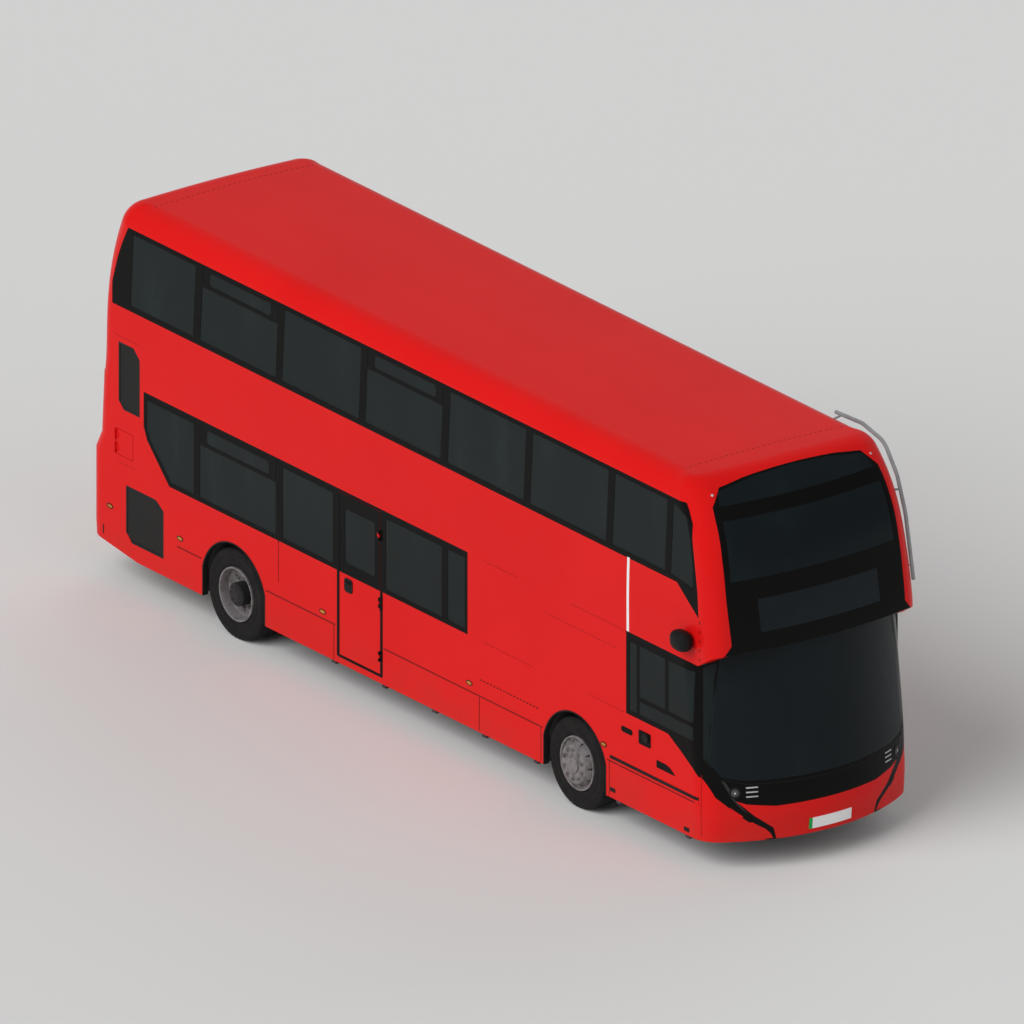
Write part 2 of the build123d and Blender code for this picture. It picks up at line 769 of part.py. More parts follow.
inner_y = side_y - wall
floor = lower_inner & (
    block(raised_x, fore(2400), -width, width, low_floor_z - floor_thickness, low_floor_z)
    + block(aft(60), riser_x, -width, width, raised_floor_z - floor_thickness, raised_floor_z)
    + block(raised_x, riser_x, -width, width, low_floor_z - floor_thickness, raised_floor_z)
    + block(bay_x, bay_x + floor_thickness, -width, width, raised_floor_z - floor_thickness, deck_z)
)
floor &= block(-far, far, -width, width, 0, deck_z)
housings = []
housing_reach = arch_radius + housing_wall
for axle_x in (front_axle_x, rear_axle_x):
    for side in (-1, 1):
        outside = wheel_space(axle_x, housing_reach, side * housing_y, side * inner_y,
                              low_floor_z - floor_thickness)
        inside = wheel_space(axle_x, arch_radius, side * (housing_y + housing_wall), side * (inner_y + 50), 0)
        floor -= outside
        housing = outside - inside
        housing -= block(axle_x - 110, axle_x + 110, side * 500, side * 700, 0, 640)
        housings.append(housing)


def plates(shape, cuts):
    """The shape as flat plates that meet at the given places along the bus."""
    return [shape & block(x0, x1, -width, width, 0, height) for x0, x1 in zip(cuts, cuts[1:])]


floor_cuts = [
    aft(50), bay_x, bay_x + floor_thickness, rear_axle_x - housing_reach, rear_axle_x + housing_reach,
    raised_x, riser_x, front_axle_x - housing_reach, front_axle_x + housing_reach, fore(2500),
]
floor = gather(plates(floor, floor_cuts) + housings)
nodes["floor_lower"] = floor
stair_hole = block(fore(-1250), fore(180), -inner_y - 50, -600, deck_z - 50, upper_floor_z + 50)
nodes["floor_upper"] = (
    upper_inner & block(aft(60), bumper_x, -width, width, deck_z, upper_floor_z)
) - stair_hole

# ---------------------------------------------------------------- chassis
rail_y, rail_width = 480, 70


def rail_pair(x0, x1, z0, z1):
    """A length of both chassis rails."""
    half = rail_width / 2
    return [block(x0, x1, side * rail_y - half, side * rail_y + half, z0, z1) for side in (-1, 1)]


rail_low_z = 250
rail_rear_z = 540
rail_low_top = low_floor_z - floor_thickness
rail_rear_top = raised_floor_z - floor_thickness


def add(total, piece):
    return piece if total is None else total + piece


half_member = rail_width / 2  # the cross members are as wide as the rails
low_members = [fore(x) for x in (1850, 680, -720, -1600, -2450, -3300, -4150)]
rear_members = [aft(x) for x in (200, 900, 1500)]
tow_radius, tow_length = 16, 90
tow_front_z, tow_rear_z, tow_block = 290, 385, 80
rail_front_x, rail_tail_x = fore(2150), aft(150)
step_x = raised_x - 60  # the rails step up over the rear axle
jack_length, jack_drop = 160, 15
frame = []
low_ends = [raised_x] + sorted(low_members) + [rail_front_x - tow_length]
for k, x in enumerate(low_ends):
    member = 0 < k < len(low_ends) - 1
    if member:
        frame.append(block(x - half_member, x + half_member, -inner_y, inner_y, rail_low_z, rail_low_top))
    if k + 1 < len(low_ends):
        start = x + half_member if member else x
        end = low_ends[k + 1] - (half_member if k + 2 < len(low_ends) else 0)
        frame += rail_pair(start, end, rail_low_z, rail_low_top)
frame += rail_pair(step_x, raised_x, rail_low_z, rail_rear_top)
for x in rear_members:
    frame.append(block(x - half_member, x + half_member, -inner_y + 140, inner_y - 140,
                       rail_rear_z, rail_rear_top))
rear_ends = [rail_tail_x] + rear_members + [step_x]
for k in range(len(rear_ends) - 1):
    start = rear_ends[k] + (half_member if k else 0)
    end = rear_ends[k + 1] - (half_member if k + 2 < len(rear_ends) else 0)
    frame += rail_pair(start, end, rail_rear_z, rail_rear_top)
frame += rail_pair(rail_tail_x + tow_length, aft(330), tow_rear_z - tow_block / 2, rail_rear_z)
for x, z in ((rail_front_x - tow_length / 2, tow_front_z), (rail_tail_x + tow_length / 2, tow_rear_z)):
    for side in (-1, 1):
        socket = Pos(x, side * rail_y, z) * Box(tow_length, rail_width, tow_block)
        bore = Pos(x, side * rail_y, z) * Rot(0, 90, 0) * Cylinder(tow_radius, 2 * tow_length)
        frame.append(socket - bore)
for x in (fore(1265), raised_x + 270):
    frame += rail_pair(x - jack_length / 2, x + jack_length / 2, rail_low_z - jack_drop, rail_low_z)
chassis = gather(frame)
nodes["chassis"] = chassis
nodes["battery_packs"] = gather([
    block(aft(220), aft(1150), -1000, 1000, raised_floor_z, 1180),
    block(aft(260), aft(1150), -1100, 1100, 1260, 2080) + block(aft(260), aft(1150), -900, 900, 1180, 1260),
])
nodes["traction_motor"] = Pos(fore(-6720), 0, 440) * Box(620, 520, 300) + block(
    fore(-6800), fore(-6640), -rail_y, rail_y, rail_rear_z, rail_rear_z + 50) - gather([chassis])

# ---------------------------------------------------------------- wheels
TYRE_HALF = [  # radius, offset across the tyre
    (rim_radius, 122), (300, 132), (350, 138), (400, 140), (440, 139), (464, 133), (tyre_radius - 2, 122),
    (tyre_radius, 106),
]
TYRE_PROFILE = [(radius, -offset) for radius, offset in TYRE_HALF] + TYRE_HALF[::-1]
spindle_radius = 62


def tyre(x, y):
    return turned(TYRE_PROFILE, x, y, tyre_radius, 1)


def ring_of_holes(x, y, count, circle, radius, depth):
    cutters = None
    for k in range(count):
        angle = radians(360 * k / count)
        hole = Pos(x + circle * cos(angle), y, tyre_radius + circle * sin(angle)) * Rot(90, 0, 0) * Cylinder(
            radius, depth)
        cutters = add(cutters, hole)
    return cutters


spindle_bore = spindle_radius + running_clearance
RIM_LIP = [(rim_radius, -98), (rim_radius, 124), (284, 140), (268, 140)]
FRONT_RIM_PROFILE = RIM_LIP + [
    (256, 118), (240, 110), (208, 168), (200, 182), (92, 182), (86, 194), (0.01, 194), (0.01, 176),
    (spindle_bore, 176), (spindle_bore, 40), (94, 40), (94, 166), (192, 166), (224, 96), (256, 96), (270, 80),
    (270, -98),
]
REAR_RIM_PROFILE = RIM_LIP + [
    (260, 112), (250, 42), (228, 27), (122, 27), (118, 130), (108, 140), (0.01, 140), (0.01, 74),
    (spindle_bore, 74), (spindle_bore, -232), (190, -232), (215, -226), (262, -250),
    (266, -twin_spacing - 98), (rim_radius, -twin_spacing - 98), (rim_radius, -twin_spacing + 98),
    (268, -twin_spacing + 98), (256, -232), (214, -208), (190, -214), (110, -214), (110, 10), (232, 10),
    (252, -16), (268, -98),
]
for side, name in ((-1, "right"), (1, "left")):
    y = side * wheel_track_y
    nodes[f"tyre_front_{name}"] = tyre(front_axle_x, y)
    nodes[f"tyre_rear_{name}"] = gather([tyre(rear_axle_x, y), tyre(rear_axle_x, y - side * twin_spacing)])
    front_rim = turned(FRONT_RIM_PROFILE, front_axle_x, y, tyre_radius, side)
    front_rim -= ring_of_holes(front_axle_x, y + side * 136, 10, 225, 13, 120)
    nodes[f"rim_front_{name}"] = front_rim
    rear_rim = turned(REAR_RIM_PROFILE, rear_axle_x, y, tyre_radius, side)
    rear_rim -= ring_of_holes(rear_axle_x, y + side * 18, 8, 192, 15, 60)
    nodes[f"rim_rear_{name}"] = rear_rim

# ---------------------------------------------------------------- axles and steering knuckles
kingpin_radius = 24
fist_radius = 46
fist_half = 62
fork_gap = seat_clearance
beam_low, beam_high = 165, 245
front_beam = block(front_axle_x - 55, front_axle_x + 55, -640, 640, beam_low, beam_high)
for side in (-1, 1):
    front_beam = front_beam + block(front_axle_x - 50, front_axle_x + 50, side * 600, side * 690,
                                    beam_low, tyre_radius + 45)
    front_beam = front_beam + block(front_axle_x - 40, front_axle_x + 40, side * 640, side * kingpin_y,
                                    tyre_radius - 45, tyre_radius + 45)
    fist = Pos(front_axle_x, side * kingpin_y, tyre_radius) * Cylinder(fist_radius, 2 * fist_half)
    front_beam = front_beam + fist
    front_beam -= Pos(front_axle_x, side * kingpin_y, tyre_radius) * Cylinder(
        kingpin_radius + running_clearance, 2 * fist_half)
    front_beam = front_beam + Pos(front_axle_x, side * rail_y, (beam_high + rail_low_z) / 2) * Cylinder(
        60, rail_low_z - beam_high)
nodes["axle_front"] = front_beam

for side, name in ((-1, "right"), (1, "left")):
    y = side * kingpin_y
    knuckle = Pos(front_axle_x, y, tyre_radius) * Cylinder(kingpin_radius, 2 * fist_half + 60)
    cheek = 30
    for step in (-1, 1):
        z = tyre_radius + step * (fist_half + fork_gap + cheek / 2)
        knuckle = knuckle + Pos(front_axle_x, y, z) * Cylinder(fist_radius, cheek)
        knuckle = knuckle + block(front_axle_x - fist_radius, front_axle_x + fist_radius, y, y + side * 84,
                                  z - cheek / 2, z + cheek / 2)
    reach = fist_half + fork_gap + cheek
    knuckle = knuckle + block(front_axle_x - 60, front_axle_x + 60, y + side * 54, y + side * 84,
                              tyre_radius - reach, tyre_radius + reach)
    knuckle = knuckle + Pos(front_axle_x, y + side * (84 + 194) / 2, tyre_radius) * Rot(90, 0, 0) * Cylinder(
        spindle_radius, 194 - 84)
    disc = Pos(front_axle_x, y + side * 112, tyre_radius) * Rot(90, 0, 0) * Cylinder(205, 26)
    knuckle = knuckle + disc
    nodes[f"knuckle_{name}"] = knuckle

rear_beam = block(rear_axle_x - 90, rear_axle_x + 90, -560, 560, 200, 330)
for side in (-1, 1):
    rear_beam = rear_beam + block(rear_axle_x - 80, rear_axle_x + 80, side * 520, side * 600, 200, 600)
    rear_beam = rear_beam + Pos(rear_axle_x, side * (560 + 1150) / 2, tyre_radius) * Rot(90, 0, 0) * Cylinder(
        spindle_radius, 1150 - 560)
    rear_beam = rear_beam + Pos(rear_axle_x, side * 630, tyre_radius) * Rot(90, 0, 0) * Cylinder(100, 60)
    riser = block(rear_axle_x - 60, rear_axle_x + 60, side * 440, side * 520, 330, rail_rear_z)
    rear_beam = rear_beam + riser
rear_beam = rear_beam + block(fore(-6720) + 310, rear_axle_x - 90, -60, 60, 380 - 60, 380 + 20) + block(
    rear_axle_x - 90, rear_axle_x + 90, -60, 60, 330, 400)
nodes["axle_rear"] = rear_beam

# ---------------------------------------------------------------- inside: seats, stairs and cab
seat_width, seat_depth, seat_pad, seat_back = 860, 430, 80, 640
cushion_height = 430
seat_pitch = 760


def seat_pair(x, side, floor_z, leg=True):
    """A double seat facing forwards; x is the back of its cushion."""
    y0, y1 = side * 335, side * (335 + seat_width)
    z = floor_z + cushion_height
    pad = block(x, x + seat_depth, y0, y1, z - seat_pad, z)
    back = side_prism([(x + 64, z), (x - 10, z), (x - 90, z + seat_back), (x - 25, z + seat_back)], y0, y1)
    if not leg:
        return [pad, back]
    foot = block(x + 120, x + 300, side * 440, side * 600, floor_z, floor_z + 12)
    return [pad, back, foot, block(x + 170, x + 240, side * 480, side * 560, floor_z + 12, z - seat_pad)]


seats = []
for row in range(11):
    x = fore(-7350 + row * seat_pitch)
    seats += seat_pair(x, 1, upper_floor_z)
    if x + seat_depth < fore(-1500) or x - 100 > fore(230):
        seats += seat_pair(x, -1, upper_floor_z)
for x in (-4750, -3990, -3230, -2470):
    seats += seat_pair(fore(x), 1, low_floor_z)
for x in (-4750, -2900):
    seats += seat_pair(fore(x), -1, low_floor_z)
housing_top = tyre_radius + arch_radius + housing_wall
for side in (-1, 1):
    seats += seat_pair(fore(-6845), side, raised_floor_z)
    housing_seat_z = housing_top - cushion_height + seat_pad
    seats += seat_pair(rear_axle_x - seat_depth / 2, side, housing_seat_z, leg=False)
driver_y = -620
driver_pad_z = low_floor_z + 500
seats.append(block(fore(930), fore(1400), driver_y - 250, driver_y + 250, driver_pad_z - 100, driver_pad_z))
driver_back = shifted([(998, driver_pad_z), (940, driver_pad_z), (850, 1480), (920, 1480)])
seats.append(side_prism(driver_back, driver_y - 240, driver_y + 240))
seats.append(block(fore(1080), fore(1260), driver_y - 110, driver_y + 110, low_floor_z, driver_pad_z - 100))
nodes["seats"] = gather(seats)

stair_x = fore(-1750)
risers = 9
tread = 230
rise = (upper_floor_z - low_floor_z) / risers
stair_y0, stair_y1 = -inner_y + 15, -625
stringer = 24
tread_thickness = 30
stairs = []
inner_y0 = stair_y0 + stringer / 2
inner_y1 = stair_y1 - stringer / 2
for k in range(1, risers):
    x = stair_x + (k - 1) * tread
    z = low_floor_z + k * rise
    stairs.append(block(x, x + tread, inner_y0, inner_y1, z - tread_thickness, z))
run = (risers - 1) * tread
for y in (stair_y0, stair_y1):
    stairs.append(side_prism(
        [
            (stair_x, low_floor_z),
            (stair_x + 160, low_floor_z),
            (stair_x + run + 60, upper_floor_z - rise - 190),
            (stair_x + run + 60, upper_floor_z - rise + 60),
            (stair_x, low_floor_z + rise + 60),
        ], y - stringer / 2, y + stringer / 2))
landing = fore(180)
landing_z = upper_floor_z - rise
landing_plate = block(stair_x + run, landing - 30, stair_y0, stair_y1, landing_z - tread_thickness, landing_z)
for plate in stairs[-2:]:
    landing_plate -= plate
stairs.append(landing_plate)
stairs.append(block(landing - 30, landing, stair_y0, stair_y1, landing_z - tread_thickness, upper_floor_z))
guard_height = 900
guard_top = upper_floor_z + guard_height
stairs.append(block(fore(-1290), fore(150), -600, -575, upper_floor_z, guard_top))
stairs.append(block(fore(-1290), fore(-1265), -inner_y + 30, -600, upper_floor_z, guard_top))
nodes["staircase"] = gather(stairs)

cab_rear_x = fore(800)
cab_y = -110
cab_rear = block(cab_rear_x, cab_rear_x + 25, -inner_y, cab_y, low_floor_z, deck_z)
cab_side = block(cab_rear_x, fore(1950), cab_y, cab_y + 25, low_floor_z, 1350)
dash_front = [(2560, low_floor_z), (2250, low_floor_z), (2250, 700)]
dash_top = [(2260, 985), (2560, 930)]
dash = side_prism(shifted(dash_front + [(2030, 820), (2040, 960)] + dash_top), -1190, -60)
dash = dash + side_prism(shifted(dash_front + [(2110, 820), (2120, 960)] + dash_top), -60, 1190)
dash = dash & lower_inner
column_foot = (fore(2120), driver_y, 850)
wheel_centre = (fore(1780), driver_y, 1105)
column_way = Vector(*wheel_centre) - Vector(*column_foot)
column_way = column_way * (1 / column_way.length)
column_end = Vector(*wheel_centre) - column_way * 40
dash = dash + pole(column_foot, column_end, 30)
nodes["cab"] = gather([cab_rear, cab_side, dash])
steering_plane = Plane(origin=wheel_centre, x_dir=(0, 1, 0), z_dir=column_way)
hub_start = column_end + column_way * seat_clearance
steering = pole(hub_start, (Vector(*wheel_centre) + column_way * 15), 45)
steering = steering + steering_plane * Torus(225, 14)
for angle in (90, 210, 330):
    spoke = steering_plane * (Rot(0, 0, angle) * (Pos(120, 0, 0) * Box(200, 26, 12)))
    steering = steering + spoke
nodes["steering_wheel"] = steering

rails = []
pole_radius = 16
front_poles = ((-2750, 320), (-1950, -560), (-1950, -310), (-700, 480), (650, 480))
rear_poles = ((-4300, 320), (-4300, -310))
for x, y in front_poles + rear_poles:
    rails.append(pole((fore(x), y, low_floor_z), (fore(x), y, deck_z), pole_radius))
for side in (-1, 1):
    foot = (fore(-5300), side * 310, raised_floor_z)
    rails.append(pole(foot, (fore(-5300), side * 310, deck_z), pole_radius))
nodes["handrails"] = gather(rails)

# ---------------------------------------------------------------- outside fittings
pod = fillet(Box(270, 190, 215).edges(), 62)
pods = []
for side in (-1, 1):
    body = Pos(fore(1920), side * (side_y + 75), 2430) * pod
    stalk = Pos(fore(1920), side * (side_y + 20), 2470) * Box(90, 60, 60)
    pods.append((body + stalk) - upper_outer)
nodes["mirror_pods"] = gather(pods)

guard_y = 1262
guard_points = [(970, 3990), (1420, 4010), (1790, 3930), (2010, 3640), (2150, 3280), (2290, 2600)]
guard_line = FilletPolyline(*[(fore(x), guard_y, z) for x, z in guard_points], radius=[260, 260, 260, 700])
guard_start = Plane(origin=guard_line @ 0, z_dir=guard_line % 0)
guard = sweep(guard_start * Circle(20), guard_line)
for x, y, z, dx, dz in ((1060, 1150, 3980, 0, -30), (2060, 1150, 3500, -90, 0), (2260, 1200, 2750, -60, 0)):
    guard = guard + pole((fore(x), guard_y, z), (fore(x + dx), y - 60, z + dz), 11)
guard -= upper_outer
guard_solids = sorted(guard.solids(), key=lambda solid: solid.volume)
nodes["tree_guard"] = guard_solids[-1]

os.makedirs("parts", exist_ok=True)
for name, shape in nodes.items():
    export_step(shape, f"parts/{name}.step")
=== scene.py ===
# %% [markdown]
# # Dressing a double-decker bus
# The metal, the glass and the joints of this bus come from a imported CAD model, already at its real
# size in metres. This lesson gives every piece its finish, adds the small things that a drawing
# office leaves out, and lights the result on a plain floor. +X is forwards, +Y is the nearside
# (left) and +Z is up; the origin is on the ground under the middle of the body.

import json
import math

import bmesh
import bpy
from mathutils import Matrix, Vector
from mathutils.bvhtree import BVHTree


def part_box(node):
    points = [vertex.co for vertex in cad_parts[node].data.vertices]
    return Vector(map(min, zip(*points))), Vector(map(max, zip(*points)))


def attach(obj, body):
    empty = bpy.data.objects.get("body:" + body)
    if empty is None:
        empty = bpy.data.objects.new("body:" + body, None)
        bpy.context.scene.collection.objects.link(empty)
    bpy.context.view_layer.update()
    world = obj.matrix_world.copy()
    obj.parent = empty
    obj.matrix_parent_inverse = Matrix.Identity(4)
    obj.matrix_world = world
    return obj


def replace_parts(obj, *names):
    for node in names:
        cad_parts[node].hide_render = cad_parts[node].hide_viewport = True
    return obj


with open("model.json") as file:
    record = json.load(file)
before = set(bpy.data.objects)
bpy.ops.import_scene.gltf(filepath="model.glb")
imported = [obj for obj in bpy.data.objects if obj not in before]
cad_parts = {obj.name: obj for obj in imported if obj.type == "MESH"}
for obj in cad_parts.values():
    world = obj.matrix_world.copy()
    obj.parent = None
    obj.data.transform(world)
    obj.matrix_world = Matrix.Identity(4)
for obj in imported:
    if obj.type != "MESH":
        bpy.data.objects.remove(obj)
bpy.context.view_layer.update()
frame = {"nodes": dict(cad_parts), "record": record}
nodes = frame["nodes"]

# %% [markdown]
# Most places on a bus are known from its front axle, so the axle's place is read from the front
# tyre, and a small function turns "so far ahead of the front axle" into an x.

# %% Places read from the CAD pieces
tyre_low, tyre_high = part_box("tyre_front_left")
axle_x = (tyre_low.x + tyre_high.x) / 2
axle_z = (tyre_low.z + tyre_high.z) / 2
tyre_radius = (tyre_high.z - tyre_low.z) / 2
rear_low, rear_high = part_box("tyre_rear_left")
rear_axle_x = (rear_low.x + rear_high.x) / 2
side_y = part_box("wall_left_lower")[1].y


def fore(distance):
    """The x of a place given as a distance ahead of the front axle, in metres."""
    return axle_x + distance


print("front axle at", round(axle_x, 3), "rear axle at", round(rear_axle_x, 3))

# %% [markdown]
# ## Shader maths as plain expressions
# A material is a web of nodes, and long webs are hard to read. The small class below wraps one
# socket, so that `1 - mask * 0.5` adds its Math nodes by itself. Colours and vectors don't go
# through Math nodes, which would turn a colour grey: colours have `mix`.


# %% A socket that understands arithmetic
def both_ways(operation):
    """Two methods that add one Math node, as for `wire - other` and for `other - wire`."""

    def straight(self, other):
        return self.maths(operation, self, other)

    def reflected(self, other):
        return self.maths(operation, other, self)

    return straight, reflected


class Wire:
    """One output socket, with arithmetic that adds Math nodes."""

    def __init__(self, finish, socket):
        self.finish = finish
        self.socket = socket

    def maths(self, operation, first, second=None):
        values = {0: first} if second is None else {0: first, 1: second}
        return self.finish.node("ShaderNodeMath", {"operation": operation}, values)

    __add__, __radd__ = both_ways("ADD")
    __sub__, __rsub__ = both_ways("SUBTRACT")
    __mul__, __rmul__ = both_ways("MULTIPLY")
    __gt__, __lt__ = both_ways("GREATER_THAN")  # less than is the other way round
    at_most = both_ways("MINIMUM")[0]
    at_least = both_ways("MAXIMUM")[0]

    def sine(self):
        return self.maths("SINE", self)

    def absolute(self):
        return self.maths("ABSOLUTE", self)

    def wrapped(self, period):
        """The value counted from the last whole period, always positive."""
        return self.maths("FLOORED_MODULO", self, period)

    def eased(self, start, end):
        """0 before start, 1 after end and a smooth step between them."""
        settings = {"interpolation_type": "SMOOTHSTEP"}
        values = {"Value": self, "From Min": start, "From Max": end, "To Min": 0.0, "To Max": 1.0}
        return self.finish.node("ShaderNodeMapRange", settings, values, "Result")


class Finish:
    """A material being made: one method adds any node, and a few more name common ones."""

    def __init__(self, name, colour, roughness, metallic=0.0, **shader_values):
        self.material = bpy.data.materials.new(name)
        self.material.use_nodes = True
        self.tree = self.material.node_tree
        self.shader = self.tree.nodes["Principled BSDF"]
        self.shader.inputs["Base Color"].default_value = (*colour, 1)
        self.shader.inputs["Roughness"].default_value = roughness
        self.shader.inputs["Metallic"].default_value = metallic
        for socket, value in shader_values.items():
            self.shader.inputs[socket.replace("_", " ")].default_value = value
        self.material.diffuse_color = (*colour, 1)
        self._place = None

    def node(self, kind, settings=None, values=None, output=0):
        """Adds a node: its settings first, then a value or a wire for each named socket."""
        made = self.tree.nodes.new(kind)
        for key, value in (settings or {}).items():
            if key == "stops":
                for element, (position, colour) in zip(self._stops(made, len(value)), value):
                    element.position = position
                    element.color = colour
            else:
                setattr(made, key, value)
        for key, value in (values or {}).items():
            if isinstance(value, Wire):
                self.tree.links.new(value.socket, made.inputs[key])
            else:
                made.inputs[key].default_value = value
        return Wire(self, made.outputs[output])

    def _stops(self, ramp, count):
        elements = ramp.color_ramp.elements
        while len(elements) < count:
            elements.new(1.0)
        return elements

    def place(self):
        """The point being shaded, in metres in the frame of the bus."""
        if self._place is None:
            self._place = self.node("ShaderNodeTexCoord", output="Object")
        return self._place

    def axes(self):
        """The same point as three separate numbers."""
        split = self.node("ShaderNodeSeparateXYZ", values={0: self.place()}).socket.node
        return [Wire(self, split.outputs[k]) for k in range(3)]

    def noise(self, scale, detail=3.0, stretch=None):
        place = self.place()
        if stretch is not None:
            place = self.node("ShaderNodeVectorMath", {"operation": "MULTIPLY"}, {0: place, 1: stretch})
        values = {"Vector": place, "Scale": scale, "Detail": detail}
        return self.node("ShaderNodeTexNoise", values=values, output="Fac")

    def mix(self, factor, first, second):
        """A colour that goes from first to second as factor goes from 0 to 1."""
        first = (*first, 1) if isinstance(first, tuple) else first
        second = (*second, 1) if isinstance(second, tuple) else second
        return self.node("ShaderNodeMix", {"data_type": "RGBA"}, {0: factor, 6: first, 7: second}, 2)

    def feed(self, socket, wire):
        self.tree.links.new(wire.socket, self.shader.inputs[socket])

    def bump(self, height, strength, distance):
        values = {"Height": height, "Strength": strength, "Distance": distance}
        self.feed("Normal", self.node("ShaderNodeBump", values=values, output="Normal"))


print("shader helpers ready")

# %% [markdown]
# ## Coach paint
# Bus panels are sprayed in a deep red with a clear coat. Close to, the coat has a faint orange
# peel; far off, the colour drifts a little from panel to panel, and road film gathers along the
# skirt in soft blotches. All of it is worked out from the place on the bus, so a door keeps
# its own share of film when it swings.

# %% Red paint
RED = (0.650, 0.0070, 0.0068)


def road_film(finish, strength):
    """How much road film lies on a painted panel: most at the skirt, in soft blotches."""
    x, y, z = finish.axes()
    low = 1 - z.eased(0.28, 0.95)
    blotch = finish.noise(1.7, 5.0).eased(0.38, 0.68)
    return low * (0.35 + blotch * 0.65) * strength


def red_paint():
    paint = Finish("red_coach_paint", RED, 0.38, Coat_Roughness=0.10, Specular_IOR_Level=0.08)
    drift = paint.noise(0.55, 2.0).eased(0.3, 0.7)
    base = paint.mix(drift, (0.635, 0.0064, 0.0062), (0.665, 0.0078, 0.0074))
    film = road_film(paint, 0.16)
    paint.feed("Base Color", paint.mix(film, base, (0.16, 0.085, 0.062)))
    paint.feed("Roughness", film * 0.9 + paint.noise(240.0, 2.0) * 0.05 + 0.30)
    paint.feed("Coat Weight", 0.08 - film * 0.4)
    paint.bump(paint.noise(170.0, 2.0), 0.035, 0.0006)
    return paint.material


finishes = {"red_paint": red_paint()}
print(*finishes)

# %% [markdown]
# ## Black gloss panels, glass and plastics
# The bands between the panes are glass too, printed black behind, so they shine almost like the
# panes. The panes are deeply tinted: from outside they read as dark blue-grey, and the inside
# shows only faintly. Alpha does that, with the tint as the base colour.


# %% Black panels and tinted glass
def black_panel():
    panel = Finish("black_gloss_panel", (0.0045, 0.0044, 0.0042), 0.22, Specular_IOR_Level=0.06)
    film = road_film(panel, 0.10)
    panel.feed("Base Color", panel.mix(film, (0.0046, 0.0045, 0.0043), (0.045, 0.036, 0.030)))
    panel.feed("Roughness", panel.noise(35.0, 4.0) * 0.10 + film * 0.5 + 0.17)
    panel.bump(panel.noise(90.0, 2.0), 0.02, 0.0005)
    return panel.material


def tinted_glass(name, colour, alpha):
    glass = Finish(name, colour, 0.05, Specular_IOR_Level=0.12, IOR=1.5)
    smear = glass.noise(2.3, 4.0, (1.0, 1.0, 0.35)).eased(0.45, 0.8)
    glass.feed("Base Color", glass.mix(smear, colour, tuple(min(1.0, c * 1.25) for c in colour)))
    glass.feed("Roughness", smear * 0.08 + 0.22)
    glass.feed("Alpha", (alpha + smear * 0.05).at_most(1.0))
    glass.bump(glass.noise(1.1, 1.0), 0.05, 0.01)
    return glass.material


finishes["black_panel"] = black_panel()
# The screen tint is the side tint made darker and bluer, painted shade of the front; the wing tint lies
# between the two, painted shade that grows as the glass turns round the corner.
for slot, name, colour, alpha in (
    ("dark_glass", "tinted_side_glass", (0.0095, 0.0145, 0.0145), 0.90),
    ("screen_glass_painted_shade", "screen_tint_painted_shade", (0.0062, 0.0098, 0.0118), 0.92),
    ("wing_glass_painted_shade", "wing_tint_painted_shade", (0.0075, 0.0115, 0.0120), 1.0),
):
    finishes[slot] = tinted_glass(name, colour, alpha)
print(*finishes)

# %% [markdown]
# ## Moulded plastics, rubber, steel and cloth
# The rest of the finishes follow one pattern: a base colour that varies a little, a roughness with
# its own grain and a bump at the scale of the real surface. One function makes the plain ones.
# A finish is filed under the name of the CAD's material slot where it has one.

# %% Plainer finishes
def plain(name, dark, light, rough, grain, bump, metallic=0.0, depth=0.0008, blotch=3.0, shine=0.25):
    """A finish with a mottled colour, grained roughness and a fine bump."""
    made = Finish(name, light, rough, metallic, Specular_IOR_Level=shine)
    mottle = made.noise(blotch, 4.0).eased(0.3, 0.7)
    made.feed("Base Color", made.mix(mottle, dark, light))
    fine = made.noise(grain, 3.0)
    made.feed("Roughness", fine * 0.18 + (rough - 0.09))
    made.bump(fine, bump, depth)
    return made.material


